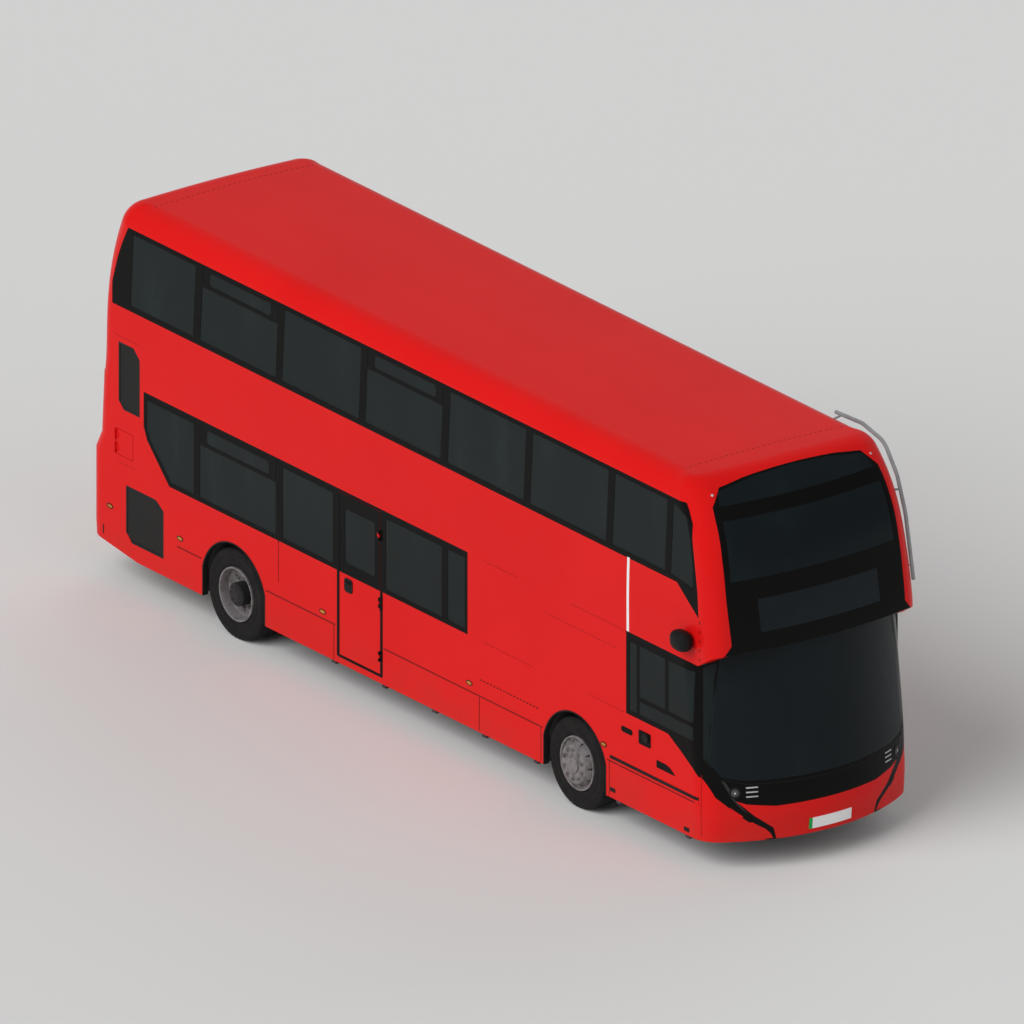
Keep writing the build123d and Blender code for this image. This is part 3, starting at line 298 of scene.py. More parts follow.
finishes |= {
    "grille_black": plain("grille_black", (0.010, 0.010, 0.010), (0.018, 0.018, 0.018), 0.62, 400, 0.25),
    "frame_steel": plain(
        "chassis_paint", (0.030, 0.031, 0.033), (0.058, 0.060, 0.063), 0.58, 120, 0.35, depth=0.0015,
    ),
    "axle_iron": plain(
        "cast_axle", (0.035, 0.034, 0.033), (0.070, 0.066, 0.062), 0.66, 90, 0.6, 0.25, 0.002,
    ),
    "battery_case": plain("battery_case", (0.09, 0.10, 0.11), (0.13, 0.14, 0.15), 0.45, 160, 0.2),
    "motor_case": plain("motor_casting", (0.36, 0.37, 0.38), (0.50, 0.51, 0.52), 0.42, 220, 0.45, 0.85),
    "grey_trim": plain("grey_trim", (0.17, 0.17, 0.18), (0.23, 0.23, 0.24), 0.5, 320, 0.3),
    "black_trim": plain(
        "black_trim", (0.008, 0.008, 0.008), (0.013, 0.013, 0.013), 0.45, 260, 0.3, shine=0.12,
    ),
    "rubber_seal": plain("rubber_seal", (0.008, 0.008, 0.008), (0.014, 0.014, 0.014), 0.72, 300, 0.2),
    "grab_rail": plain("grab_rail_coat", (0.66, 0.34, 0.02), (0.76, 0.43, 0.03), 0.34, 200, 0.08),
    "guard_tube": plain("guard_tube_coat", (0.20, 0.21, 0.22), (0.27, 0.28, 0.29), 0.40, 200, 0.10),
    "white": plain("white_film", (0.74, 0.74, 0.74), (0.80, 0.80, 0.79), 0.38, 200, 0.05),
    "green": plain("green_film", (0.010, 0.28, 0.055), (0.014, 0.34, 0.07), 0.40, 200, 0.05),
    "projector": plain("projector_lens", (0.030, 0.031, 0.033), (0.075, 0.077, 0.080), 0.12, 300, 0.1),
    # A paler dark grey for the lit faces of the mask's folds: a painted highlight.
    "facet": plain("mask_fold_painted_highlight", (0.020, 0.020, 0.020), (0.028, 0.028, 0.028), 0.50, 260, 0.2),
    "display_glass": plain(
        "display_glass", (0.004, 0.0075, 0.010), (0.006, 0.010, 0.013), 0.15, 60, 0.02, shine=0.15,
    ),
    "amber_lens": plain("amber_lens", (0.36, 0.13, 0.015), (0.58, 0.22, 0.03), 0.22, 500, 0.15),
    "rear_lens": plain("red_lens", (0.35, 0.010, 0.012), (0.50, 0.015, 0.016), 0.16, 500, 0.15),
    # The clear lens finish also makes the painted glints of the headlamps.
    "lamp_lens": plain("lamp_lens", (0.34, 0.35, 0.36), (0.52, 0.53, 0.54), 0.12, 500, 0.10),
}


def floor_sheet():
    """Speckled non-slip floor sheet."""
    made = Finish("floor_sheet", (0.10, 0.10, 0.11), 0.6)
    speckle = made.node("ShaderNodeTexVoronoi", {}, {"Vector": made.place(), "Scale": 260.0}, "Distance")
    made.feed("Base Color", made.mix(speckle.eased(0.10, 0.22), (0.30, 0.30, 0.31), (0.085, 0.086, 0.095)))
    made.bump(made.noise(300.0, 2.0), 0.3, 0.0008)
    return made.material


def wheel_paint():
    """Grey wheel paint with brake dust in blotches."""
    made = Finish("wheel_paint", (0.20, 0.19, 0.19), 0.42, 0.25)
    dust = made.noise(14.0, 5.0).eased(0.42, 0.75)
    made.feed("Base Color", made.mix(dust, (0.215, 0.200, 0.205), (0.120, 0.108, 0.104)))
    made.feed("Roughness", dust * 0.25 + 0.36)
    made.bump(made.noise(180.0, 3.0), 0.15, 0.0008)
    return made.material


def tyre_rubber():
    """Tyre rubber, a little brown with dust in blotches."""
    made = Finish("tyre_rubber", (0.012, 0.0115, 0.0115), 0.78, Specular_IOR_Level=0.2)
    dust = made.noise(9.0, 5.0).eased(0.40, 0.75)
    made.feed("Base Color", made.mix(dust, (0.0095, 0.0092, 0.0092), (0.018, 0.0165, 0.016)))
    made.feed("Roughness", dust * 0.14 + 0.70)
    made.bump(made.noise(420.0, 3.0), 0.3, 0.0008)
    return made.material


def moquette():
    """Woven seat cloth: a fine weave and a small repeating check in dark red and grey."""
    made = Finish("seat_moquette", (0.10, 0.05, 0.07), 0.92, Sheen_Weight=0.3)
    x, y, z = made.axes()
    pitch = 0.045
    stripe = ((y.wrapped(pitch) - pitch / 2).absolute() < pitch / 5).at_least(
        ((x + z).wrapped(pitch) - pitch / 2).absolute() < pitch / 9
    )
    patch = made.mix(stripe, (0.055, 0.020, 0.030), (0.150, 0.030, 0.036))
    fleck = made.noise(900.0, 2.0).eased(0.45, 0.6)
    made.feed("Base Color", made.mix(fleck * 0.35, patch, (0.20, 0.19, 0.20)))
    weave = ((y * 4200.0).sine() + ((x + z) * 4200.0).sine()) * 0.25 + 0.5
    made.bump(weave, 0.25, 0.0008)
    return made.material


finishes |= {
    "floor_sheet": floor_sheet(), "wheel_paint": wheel_paint(), "tyre_rubber": tyre_rubber(),
    "seat_cloth": moquette(),
}
print(len(finishes), "finishes")

# %% [markdown]
# ## Who wears what
# The record that came with the frame names a material slot for every CAD node. One loop dresses all
# of them, so no node can be forgotten; only the windscreens take a glass of their own, a darker copy
# of the side tint that paints the front's shade.

# %% Dress the CAD nodes
for part in frame["record"]["subparts"]:
    slot = "screen_glass_painted_shade" if part["node"] == "windscreens" else part["material_slot"]
    materials = nodes[part["node"]].data.materials
    materials.clear()
    materials.append(finishes[slot])

# %% [markdown]
# ## Laying thin things on a curved skin
# Seams, stripes, trims and window bars all lie on the outside of the body, which curves. Drawing
# them in space would need the curve again, so they are drawn flat instead, on a side view or a
# front view, and a ray is sent from each point of the drawing onto the CAD skin. A strip that
# stands about a millimetre proud of the spots that were hit follows the body by itself.

# %% Views and skins
REACH = 9.0
PROUD = 0.0012
BURIED = 0.003


class View:
    """One flat drawing of the bus: its two axes and the way that one looks at it."""

    def __init__(self, across, up, looking):
        self.across, self.up, self.looking = Vector(across), Vector(up), Vector(looking)

    def start(self, point):
        return self.across * point[0] + self.up * point[1] - self.looking * REACH


offside = View((1, 0, 0), (0, 0, 1), (0, 1, 0))
nearside = View((1, 0, 0), (0, 0, 1), (0, -1, 0))
front = View((0, 1, 0), (0, 0, 1), (-1, 0, 0))
back = View((0, 1, 0), (0, 0, 1), (1, 0, 0))
above = View((1, 0, 0), (0, 1, 0), (0, 0, -1))


class Skin:
    """The outside of some CAD nodes, found by rays."""

    def __init__(self, *names):
        corners, faces = [], []
        for name in names:
            thing, first = nodes[name], len(corners)
            corners += [thing.matrix_world @ v.co for v in thing.data.vertices]
            faces += [[first + k for k in face.vertices] for face in thing.data.polygons]
        self.tree = BVHTree.FromPolygons(corners, faces)

    def spot(self, view, point):
        """Where a straight look at the drawing's point meets the skin, and which way is out."""
        place, normal, _, _ = self.tree.ray_cast(view.start(point), view.looking)
        if place is None:
            return None
        return place, (-normal if normal.dot(view.looking) > 0 else normal)


bpy.context.view_layer.update()
body_skin = Skin(
    "wall_left_lower", "wall_left_upper", "wall_right_lower", "wall_right_upper", "front_dome",
    "rear_dome", "roof", "rear_lower", "bumper_front", "front_mask", "glazing_surrounds",
    "side_windows", "windscreens", "destination_display", "side_grilles", "headlamps",
)
plain_skin = Skin("wall_left_lower", "wall_right_lower", "rear_dome", "rear_lower", "side_grilles")
door_skin = Skin("emergency_door", "emergency_door_glass")
cover_skin = Skin("rear_cover")
print("skins ready; the side is at y", round(body_skin.spot(offside, (0, 1.2))[0].y, 3))

# %% [markdown]
# ## A piece and its simple shapes
# Every new piece is one mesh with one finish that rides on one body and lies on one skin. The class
# below keeps those together and offers the few shapes that bus trim is made of: a strip along a
# drawn path, a patch with a drawn outline, a sheet through drawn rows, a rounded block, a turned
# part and a tube.

# %% Paths and outlines
def spread(path, step):
    """The path with extra points, so that no two neighbours are further apart than step."""
    corners = [Vector(p) for p in path]
    spots = []
    for start, end in zip(corners, corners[1:]):
        count = max(1, math.ceil((end - start).length / step))
        spots += [start.lerp(end, k / count) for k in range(count)]
    return spots + [corners[-1]]


def circle(count, shift=0.0):
    """The cosine and the sine of even steps once round."""
    angles = [2 * math.pi * (k + shift) / count for k in range(count)]
    return [(math.cos(angle), math.sin(angle)) for angle in angles]


def rounded(x0, z0, x1, z1, radius, turns=4):
    """A rectangle's outline with rounded corners, anticlockwise."""
    points = []
    for cx, cz, start in (
        (x1 - radius, z0 + radius, -90), (x1 - radius, z1 - radius, 0),
        (x0 + radius, z1 - radius, 90), (x0 + radius, z0 + radius, 180),
    ):
        for k in range(turns + 1):
            angle = math.radians(start + 90 * k / turns)
            points.append((cx + radius * math.cos(angle), cz + radius * math.sin(angle)))
    return points


print("a rounded outline has", len(rounded(0, 0, 1, 1, 0.1)), "points")

# %% The piece class
STRIP_STEP, SHEET_COLUMNS, CREASE = 0.08, 6, math.radians(35)
SHARPEST_MITRE = 0.35


class Piece:
    """A mesh in the making: its finish, the body it rides on and the skin it lies on."""

    def __init__(self, name, finish, body="body", skin=body_skin):
        self.name, self.finish, self.body, self.skin = name, finishes[finish], body, skin
        self.mesh = bmesh.new()

    def corners(self, places):
        return [self.mesh.verts.new(place) for place in places]

    def face(self, *corners):
        self.mesh.faces.new(corners)

    def wall(self, one, two, around=True):
        """Faces between two rows of corners, all the way around or only along the rows."""
        count = len(one)
        for k in range(count if around else count - 1):
            j = (k + 1) % count
            self.face(one[k], one[j], two[j], two[k])

    def walls(self, rows, around=True):
        for one, two in zip(rows, rows[1:]):
            self.wall(one, two, around)

    def fan(self, tip, ring):
        for k, corner in enumerate(ring):
            self.face(tip, corner, ring[(k + 1) % len(ring)])

    def strip(self, view, path, width, proud=PROUD, step=STRIP_STEP):
        """A thin strip of even width along a path of the drawing."""
        spots = spread(path, step)
        legs = [(end - start).normalized() for start, end in zip(spots, spots[1:])]
        rows = []
        for spot, first, second in zip(spots, legs[:1] + legs, legs + legs[-1:]):
            along = (first + second).normalized()
            mitre = max(SHARPEST_MITRE, math.sqrt((1 + first.dot(second)) / 2))
            square = Vector((-along.y, along.x)) / mitre
            edges = [self.skin.spot(view, spot + square * (side * width / 2)) for side in (1, -1)]
            if None in edges:
                rows.append(None)
                continue
            (left, left_out), (right, right_out) = edges
            rows.append(self.corners((
                left + left_out * proud, right + right_out * proud,
                right - right_out * BURIED, left - left_out * BURIED,
            )))
        for one, two in zip(rows, rows[1:]):
            if one and two:
                self.wall(one, two)
        for row in (rows[0], rows[-1]):
            if row:
                self.face(*row)

    def dashes(self, view, path, width, dash, gap):
        """A broken strip: dashes of one length with even gaps."""
        start, end = Vector(path[0]), Vector(path[-1])
        run = (end - start).length
        place = gap / 2
        while place + dash < run:
            self.strip(view, [start.lerp(end, place / run), start.lerp(end, (place + dash) / run)], width)
            place += dash + gap

    def layers(self, view, points, proud=PROUD):
        """The drawing's points twice: a little proud of the skin, and buried under it."""
        found = [self.skin.spot(view, Vector(point)) for point in points]
        return [self.corners(place + out * height for place, out in found) for height in (proud, -BURIED)]

    def patch(self, view, outline, proud=PROUD, hole=None):
        """A thin plate with a drawn outline, and a hole with as many points if one is given."""
        top, low = self.layers(view, outline, proud)
        self.wall(top, low)
        if hole is None:
            self.face(*top)
            return
        inner_top, inner_low = self.layers(view, hole, proud)
        self.wall(inner_low, inner_top)
        self.wall(inner_top, top)

    def sheet(self, view, rows):
        """A thin curved plate through rows of the drawing, each given by its two ends."""
        last = SHEET_COLUMNS - 1
        spots = [
            [Vector(start).lerp(Vector(end), k / last) for k in range(SHEET_COLUMNS)]
            for start, end in rows
        ]
        rims = []
        for grid in zip(*(self.layers(view, row) for row in spots)):
            self.walls(grid, around=False)
            left, right = [row[0] for row in grid[1:-1]], [row[-1] for row in grid[1:-1]]
            rims.append(grid[0] + right + grid[-1][::-1] + left[::-1])
        self.wall(*rims)

    def block(self, low, high, bevel):
        """A block between two corners, with its edges rounded."""
        low, high = Vector(low), Vector(high)
        size = high - low
        placed = Matrix.Translation((low + high) / 2) @ Matrix.Diagonal((*size, 1))
        made = bmesh.ops.create_cube(self.mesh, size=1.0, matrix=placed)
        edges = list({edge for corner in made["verts"] for edge in corner.link_edges})
        offset = min(bevel, min(size) * 0.45)
        bmesh.ops.bevel(
            self.mesh, geom=edges, offset=offset, segments=2, profile=0.5, affect="EDGES"
        )

    def turned(self, profile, centre, axis, segments=32):
        """A part turned about an axis; the profile is (radius, place along the axis)."""
        turn = Vector((0, 0, 1)).rotation_difference(Vector(axis)).to_matrix()
        rings = []
        for radius, along in profile:
            steps = circle(segments) if radius else [(0, 0)]
            spots = [Vector((radius * c, radius * s, along)) for c, s in steps]
            rings.append(self.corners(Vector(centre) + turn @ spot for spot in spots))
        for one, two in zip(rings, rings[1:]):
            if len(one) == 1:
                self.fan(one[0], two)
            elif len(two) == 1:
                self.fan(two[0], one)
            else:
                self.wall(one, two)

    def tube(self, path, radius, sides=12):
        """A round bar along a path in space."""
        spots = [Vector(p) for p in path]
        rings = []
        lift = None
        for behind, spot, ahead in zip(spots[:1] + spots, spots, spots[1:] + spots[-1:]):
            along = (ahead - behind).normalized()
            lift = along.orthogonal().normalized() if lift is None else lift
            lift = (lift - along * lift.dot(along)).normalized()
            cross = along.cross(lift)
            rings.append(self.corners(spot + (lift * c + cross * s) * radius for c, s in circle(sides)))
        self.walls(rings)
        self.face(*rings[0][::-1])
        self.face(*rings[-1])

    def done(self, smooth=False):
        """The finished object, riding on its body."""
        bmesh.ops.recalc_face_normals(self.mesh, faces=self.mesh.faces)
        data = bpy.data.meshes.new(self.name)
        self.mesh.to_mesh(data)
        self.mesh.free()
        made = bpy.data.objects.new(self.name, data)
        bpy.context.scene.collection.objects.link(made)
        data.materials.append(self.finish)
        if smooth:
            data.shade_smooth()
            data.set_sharp_from_angle(angle=CREASE)
        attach(made, self.body)
        print(self.name, len(data.polygons), "faces on", self.body)
        return made


print("piece helpers ready")

# %% [markdown]
# ## Seams and rivet rows
# Bus sides are made of panels that are bolted or bonded to a frame, so the joints between them
# show: a groove along the skirt, upright joints between skirt panels, and rows of rivet heads where
# upper panels overlap. Real grooves would need cuts in the CAD panels; a dark strip a few
# millimetres wide, the groove's shade painted on, reads the same from a step away and keeps the
# panels whole. The rivet heads are dark dashes in the same painted shade.

# %% Seam finish and seams along the sides
finishes |= {
    "seam": plain("seam_shadow", (0.085, 0.004, 0.004), (0.13, 0.006, 0.006), 0.7, 300, 0.1),
    "groove": plain("groove_shade", (0.20, 0.005, 0.005), (0.26, 0.007, 0.007), 0.7, 300, 0.1),
    "gap": plain("gap_black", (0.004, 0.004, 0.004), (0.008, 0.008, 0.008), 0.8, 300, 0.1),
}
SEAM, HAIR_SEAM, GROOVE = 0.0096, 0.006, 0.017
groove_z, skirt_low, arch_half = 0.70, 0.325, 0.524
arch_reach = arch_half + 0.02
rear_axle = rear_axle_x - axle_x
tail_seam = -6.75
door_gap_rear, door_gap_front = -4.06, -3.25


def drawn(*points):
    """Points given as (distance ahead of the front axle, height), as points of a side view."""
    return [(fore(ahead), z) for ahead, z in points]


skirt = Piece("skirt_seams", "seam")
groove = Piece("skirt_groove", "groove")
runs = {
    offside: (
        (tail_seam, rear_axle - arch_reach), (rear_axle + arch_reach, door_gap_rear),
        (door_gap_front, -arch_reach), (arch_reach, 2.10),
    ),
    nearside: ((tail_seam, rear_axle - arch_reach), (rear_axle + arch_reach, -arch_reach)),
}
for view, stretches in runs.items():
    for start, end in stretches:
        groove.strip(view, drawn((start, groove_z), (end, groove_z)), GROOVE)
for view, joints in ((offside, (-4.09, -1.62, -0.575, 0.585)), (nearside, (-4.09, -1.62, -0.575))):
    for ahead in joints:
        skirt.strip(view, drawn((ahead, skirt_low), (ahead, groove_z - 0.01)), SEAM)
skirt.strip(offside, drawn((-5.03, 0.86), (-5.03, 1.255)), SEAM)
groove.strip(offside, drawn((2.12, 0.36), (2.12, 1.02)), HAIR_SEAM)
groove.done()
skirt.done()

# %% Rivet rows
rivets = Piece("rivet_rows", "seam")
RIVET, RIVET_GAP, RIVET_WIDTH = 0.016, 0.022, 0.007
FRONT_SEAM, REAR_SEAM, ROOF_HALF = 1.48, -7.50, 1.02
tail_rows = ((-7.82, -7.34, 2.66), (-7.73, -7.45, 1.30))
stair_rows = (
    (-1.58, -0.96, 2.18), (-0.07, 0.87, 2.18), (-1.58, -0.68, 1.30), (0.20, 0.87, 1.30),
    (-0.51, 0.73, 1.95),
)
for view, rows in ((offside, tail_rows + stair_rows), (nearside, tail_rows)):
    for start, end, z in rows:
        rivets.dashes(view, drawn((start, z), (end, z)), RIVET_WIDTH, RIVET, RIVET_GAP)
for ahead in (FRONT_SEAM, REAR_SEAM):
    rivets.dashes(above, [(fore(ahead), -ROOF_HALF), (fore(ahead), ROOF_HALF)], 0.011, 0.020, 0.045)
rivets.done()
dark_rivets = Piece("skirt_vent_row", "gap")
dark_rivets.dashes(offside, drawn((-1.62, 0.88), (-0.58, 0.88)), 0.012, 0.030, 0.026)
for view in (offside, nearside):
    dark_rivets.dashes(view, drawn((2.12, 2.21), (2.12, 2.72)), 0.012, 0.030, 0.070)
dark_rivets.done()

# %% [markdown]
# ## Stripe, skirt trim and small fittings of the side
# One white upright stripe stands above the cab window on the driver's side. Below the cab window
# sit a rubber trim strip, a black charging-status panel with a round knob, a bare name-plate
# holder, an air intake and the covers of the jacking points.

# %% Fittings of the side
def plaque(ahead, z, half_long, half_tall, radius):
    """The rounded outline of a small fitting about a place of the side."""
    x = fore(ahead)
    return rounded(x - half_long, z - half_tall, x + half_long, z + half_tall, radius)


stripe = Piece("side_stripe", "white")
stripe.strip(offside, drawn((0.90, 2.19), (0.90, 2.985)), 0.04)
stripe.done()

trim = Piece("skirt_trim", "black_trim")
trim.strip(offside, drawn((0.60, 0.75), (2.09, 0.75)), 0.032, proud=0.006)
for ahead, z in ((0.645, 0.40), (1.90, 0.37)):
    trim.patch(offside, plaque(ahead, z, 0.045, 0.022, 0.008), 0.003)
trim.patch(offside, plaque(-8.0, 0.50, 0.008, 0.05, 0.007), 0.003)
trim.done()

side_fittings = Piece("side_fittings", "black_panel")
side_fittings.patch(offside, plaque(1.19, 1.12, 0.10, 0.075, 0.015), 0.006)
side_fittings.patch(offside, plaque(0.885, 1.115, 0.095, 0.03, 0.026), 0.004)
intake = drawn((1.39, 0.880), (1.71, 0.880), (1.62, 0.940), (1.55, 0.958), (1.39, 0.958))
side_fittings.patch(offside, intake, 0.003)
side_fittings.done()
knob = Piece("panel_knob", "black_trim")
knob_seat = body_skin.spot(offside, (fore(1.215), 1.135))[0] + Vector((0, -0.006, 0))
knob.turned([(0.050, 0), (0.050, 0.012), (0.044, 0.018), (0.020, 0.019), (0, 0.016)], knob_seat, (0, -1, 0))
knob.done(smooth=True)

# %% [markdown]
# ## Window bars and hopper panes
# Two upper and one lower pane on each side have a hopper: a narrow pane along the top that tilts
# in. Seen from outside it is a rounded light pane inside a printed black border. The border is a
# patch with a hole, laid on the glass, so the hopper pane is the glass behind it.

# %% Hopper borders
pane_black = Piece("hopper_borders", "black_panel")
HOPPER_INSET, HOPPER_CORNER, HOPPER_BAR, HOPPER_TOP = 0.12, 0.035, 0.045, 0.012


def hopper(view, start, end, bar_z, pane_top):
    """The black border of a hopper from its bar up to the top of the pane."""
    x0, x1 = fore(start), fore(end)
    hole = rounded(
        x0 + HOPPER_INSET, bar_z + HOPPER_BAR, x1 - HOPPER_INSET, pane_top - HOPPER_TOP, HOPPER_CORNER
    )
    pane_black.patch(view, rounded(x0, bar_z, x1, pane_top, 0.002), 0.0015, hole=hole)


for view in (offside, nearside):
    for start, end in ((-6.38, -5.10), (-3.58, -2.30)):
        hopper(view, start, end, 3.605, 3.79)
    hopper(view, -6.37, -5.08, 1.915, 2.11)
pane_black.done()

# %% Pillar joints between the panes
joints = Piece("pillar_joints", "gap")
for view in (offside, nearside):
    for ahead in (-6.44, -5.045, -3.635, -2.24, -0.835, 0.565, 1.56):
        joints.dashes(view, drawn((ahead, 3.03), (ahead, 3.88)), 0.012, 0.12, 0.22)
joints.strip(offside, drawn((-5.03, 1.27), (-5.03, 2.17)), 0.014)
joints.done()

# %% [markdown]
# ## Emergency door
# The door behind the middle of the driver's side is black round its window, down to the waist, and
# red below. The black is one flat printed plate with a hole for the glass, and thin blocks carry it
# over the leaf's edges. It rides on the door. A rubber seal runs round the foot of the opening, and
# the handle is a rounded pocket with a pull bar.

# %% Places of the emergency door
SEARCH, STEP_BACK = 0.001, 0.02


def edge_of(start, step):
    """The last point, going from start by small steps, where the side view still meets the door."""
    spot, step = Vector(start), Vector(step) * SEARCH
    level = door_skin.spot(offside, spot)[0].y
    while True:
        found = door_skin.spot(offside, spot + step)
        if found is None or abs(found[0].y - level) > STEP_BACK:
            return spot
        spot = spot + step


class FlatSkin:
    """A flat upright face at one distance from the middle of the bus, on the driver's side."""

    def __init__(self, y):
        self.y = y

    def spot(self, view, point):
        return Vector((point[0], self.y, point[1])), Vector((0, -1, 0))


WAIST = 1.30
pane_low, pane_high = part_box("emergency_door_glass")
middle_x, middle_z = (pane_low.x + pane_high.x) / 2, (pane_low.z + pane_high.z) / 2
door_rear, door_front = (edge_of((middle_x, middle_z), (way, 0)).x for way in (-1, 1))
door_top = edge_of((middle_x, middle_z), (0, 1)).y
door_foot = edge_of((middle_x, WAIST), (0, -1)).y
frame_face = door_skin.spot(offside, (middle_x, WAIST))[0].y
print("door from", round(door_rear, 3), "to", round(door_front, 3), "and up to", round(door_top, 3))

# %% Black of the door
DOOR_EDGE, GLASS_LAP, EDGE_SKIN, LEAF = 0.0008, 0.02, 0.0015, 0.030
door_black = Piece("door_black", "black_panel", "emergency_door", FlatSkin(frame_face))
door_black.patch(
    offside,
    rounded(door_rear + DOOR_EDGE, WAIST, door_front - DOOR_EDGE, door_top - DOOR_EDGE, 0.01),
    hole=rounded(
        pane_low.x + GLASS_LAP, pane_low.z + GLASS_LAP,
        pane_high.x - GLASS_LAP, pane_high.z - GLASS_LAP, 0.03,
    ),
)
for x0, z0, x1, z1 in (
    (door_rear - EDGE_SKIN, WAIST, door_rear, door_top),
    (door_front, WAIST, door_front + EDGE_SKIN, door_top),
    (door_rear, door_top, door_front, door_top + EDGE_SKIN),
):
    door_black.block((x0, frame_face, z0), (x1, frame_face + LEAF, z1), 0.0002)
door_black.done()

# %% Seal and handle of the door
SEAL, SEAL_AWAY = 0.020, 0.022
seal_rear, seal_front, seal_foot = door_rear - SEAL_AWAY, door_front + SEAL_AWAY, door_foot - SEAL_AWAY
seal = Piece("door_opening_seal", "gap")
seal.strip(offside, [(seal_rear, seal_foot), (seal_front, seal_foot), (seal_front, WAIST - 0.02)], SEAL)
seal.done()

HANDLE_AHEAD, HANDLE_Z, PULL_Z = -3.84, 1.19, 1.22
handle = Piece("door_handle", "black_trim", "emergency_door", door_skin)
handle.patch(offside, plaque(HANDLE_AHEAD, HANDLE_Z, 0.07, 0.075, 0.035), 0.006)
pull_y = door_skin.spot(offside, (fore(HANDLE_AHEAD), HANDLE_Z))[0].y
pull = ((-0.045, 0.004), (-0.035, 0.020), (0.035, 0.020), (0.045, 0.004))
handle.tube([(fore(HANDLE_AHEAD) + x, pull_y - out, PULL_Z) for x, out in pull], 0.009)
handle.done(smooth=True)

# %% [markdown]
# ## Front: lamps, mask, corners and plate
# Each headlamp is a round projector in a dark bezel, with a small pale disc in its middle that is a
# painted glint. A fine seam runs over the mask where it meets the screen, and the mask's outer ends
# fold back; the lit face of each fold is a paler flat patch, a painted highlight. Everything that
# comes in pairs is drawn for one side and mirrored.

# %% Headlamps
LAMP_Y, LAMP_Z = 1.005, 0.838
# The first part is no bulb: a small pale disc on each projector, a painted glint, in the clear lens finish.
LAMP_PARTS = (
    ("headlamp_painted_glints", "lamp_lens", [(0.010, 0.008), (0.010, 0.013), (0.006, 0.0145), (0, 0.015)], 16),
    (
        "headlamp_bezels", "black_trim",
        [(0.062, -0.02), (0.062, 0.004), (0.055, 0.008), (0.041, 0.004), (0.040, -0.004)], 32,
    ),
    (
        "headlamp_projectors", "projector",
        [(0.041, -0.004), (0.040, 0.003), (0.030, 0.009), (0.014, 0.012), (0, 0.0125)], 32,
    ),
)
for name, slot, profile, sides in LAMP_PARTS:
    lamps = Piece(name, slot)
    for side in (-1, 1):
        lamps.turned(profile, *body_skin.spot(front, (side * LAMP_Y, LAMP_Z)), sides)
    lamps.done(smooth=True)


# %% Mask seam and edges
def mirrored(side, points):
    """A front drawing of the nearside half, kept there (1) or put on the driver's side (-1)."""
    return [(side * across, z) for across, z in points]


mask_lines = Piece("mask_seams", "gap")
half_seam = ((0.45, 0.908), (0.90, 0.925), (1.12, 0.985))
mask_lines.strip(front, mirrored(-1, half_seam[::-1]) + mirrored(1, half_seam), 0.010)
mask_lines.done()

# The lit face of each fold at the mask's ends is painted as a paler flat patch: a painted highlight.
fold_highlights = Piece("mask_fold_highlights", "facet")
FACET = (
    (1.124, 0.974), (1.088, 0.958), (1.052, 0.886), (1.012, 0.770), (0.893, 0.612), (0.964, 0.680),
    (1.042, 0.790), (1.091, 0.909),
)
for side in (-1, 1):
    fold_highlights.patch(front, mirrored(side, FACET), 0.003)
fold_highlights.done()

# %% [markdown]
# The black stripe of the bumper narrows towards its foot, so red paint lies over its lower part. The
# glass of the main screen reaches round the corner of the bus as far as the pillar; dark wings close
# that strip, in a tint between the side and the screen tints that paints the shade growing as the
# glass turns to the front. They are drawn on views that look at the corners, as a front view sees
# them too thinly.

# %% Bumper paint and screen wings
ACROSS, ALONG = 0.591, 0.807
corner_views = {
    side: View((side * ACROSS, ALONG, 0), (0, 0, 1), (-ALONG, side * ACROSS, 0)) for side in (1, -1)
}
PAINT_ROWS = (
    ((1.056, 0.680), (1.053, 0.684)), ((0.965, 0.585), (0.948, 0.594)),
    ((0.875, 0.500), (0.826, 0.498)), ((0.800, 0.430), (0.722, 0.432)),
    ((0.745, 0.375), (0.668, 0.375)), ((0.715, 0.322), (0.640, 0.322)),
)
WING_ROWS = (
    ((1.925, 2.155), (2.060, 2.205)), ((1.925, 1.90), (2.045, 1.90)), ((1.925, 1.65), (2.030, 1.65)),
    ((1.925, 1.40), (2.013, 1.40)), ((1.925, 1.20), (1.998, 1.20)), ((1.965, 1.15), (2.012, 1.15)),
    ((2.010, 1.11), (2.036, 1.108)),
)
corner_paint = Piece("bumper_corner_paint", "red_paint")
for side in (-1, 1):
    corner_paint.sheet(front, [mirrored(side, row) for row in PAINT_ROWS])
corner_paint.done(smooth=True)
# The wings' tint is painted shade, between the side glass and the screen.
wings = Piece("screen_wings", "wing_glass_painted_shade")
for side, view in corner_views.items():
    wings.sheet(view, [mirrored(side, row) for row in WING_ROWS])
wings.done(smooth=True)

# %% [markdown]
# The plate between the bumper's stripes is blank white film with a green band at one end, and the
# place of a badge stays bare.

# %% Front plate
PLATE_Z, PLATE_HALF, PLATE_TALL, BAND = 0.417, 0.26, 0.115, 0.036
band_end = BAND - PLATE_HALF
for name, slot, y0, y1 in (
    ("front_plate", "white", band_end, PLATE_HALF), ("front_plate_band", "green", -PLATE_HALF, band_end),
):
    plate = Piece(name, slot)
    plate.strip(front, [(y0, PLATE_Z), (y1, PLATE_Z)], PLATE_TALL, proud=0.008, step=0.03)
    plate.done()

# %% [markdown]
# ## Marker lamps
# Amber markers sit along the skirt in small black rubber rings. The CAD gives all its lamps as one
# node, so the node is taken apart: corners that share a face belong to one solid.

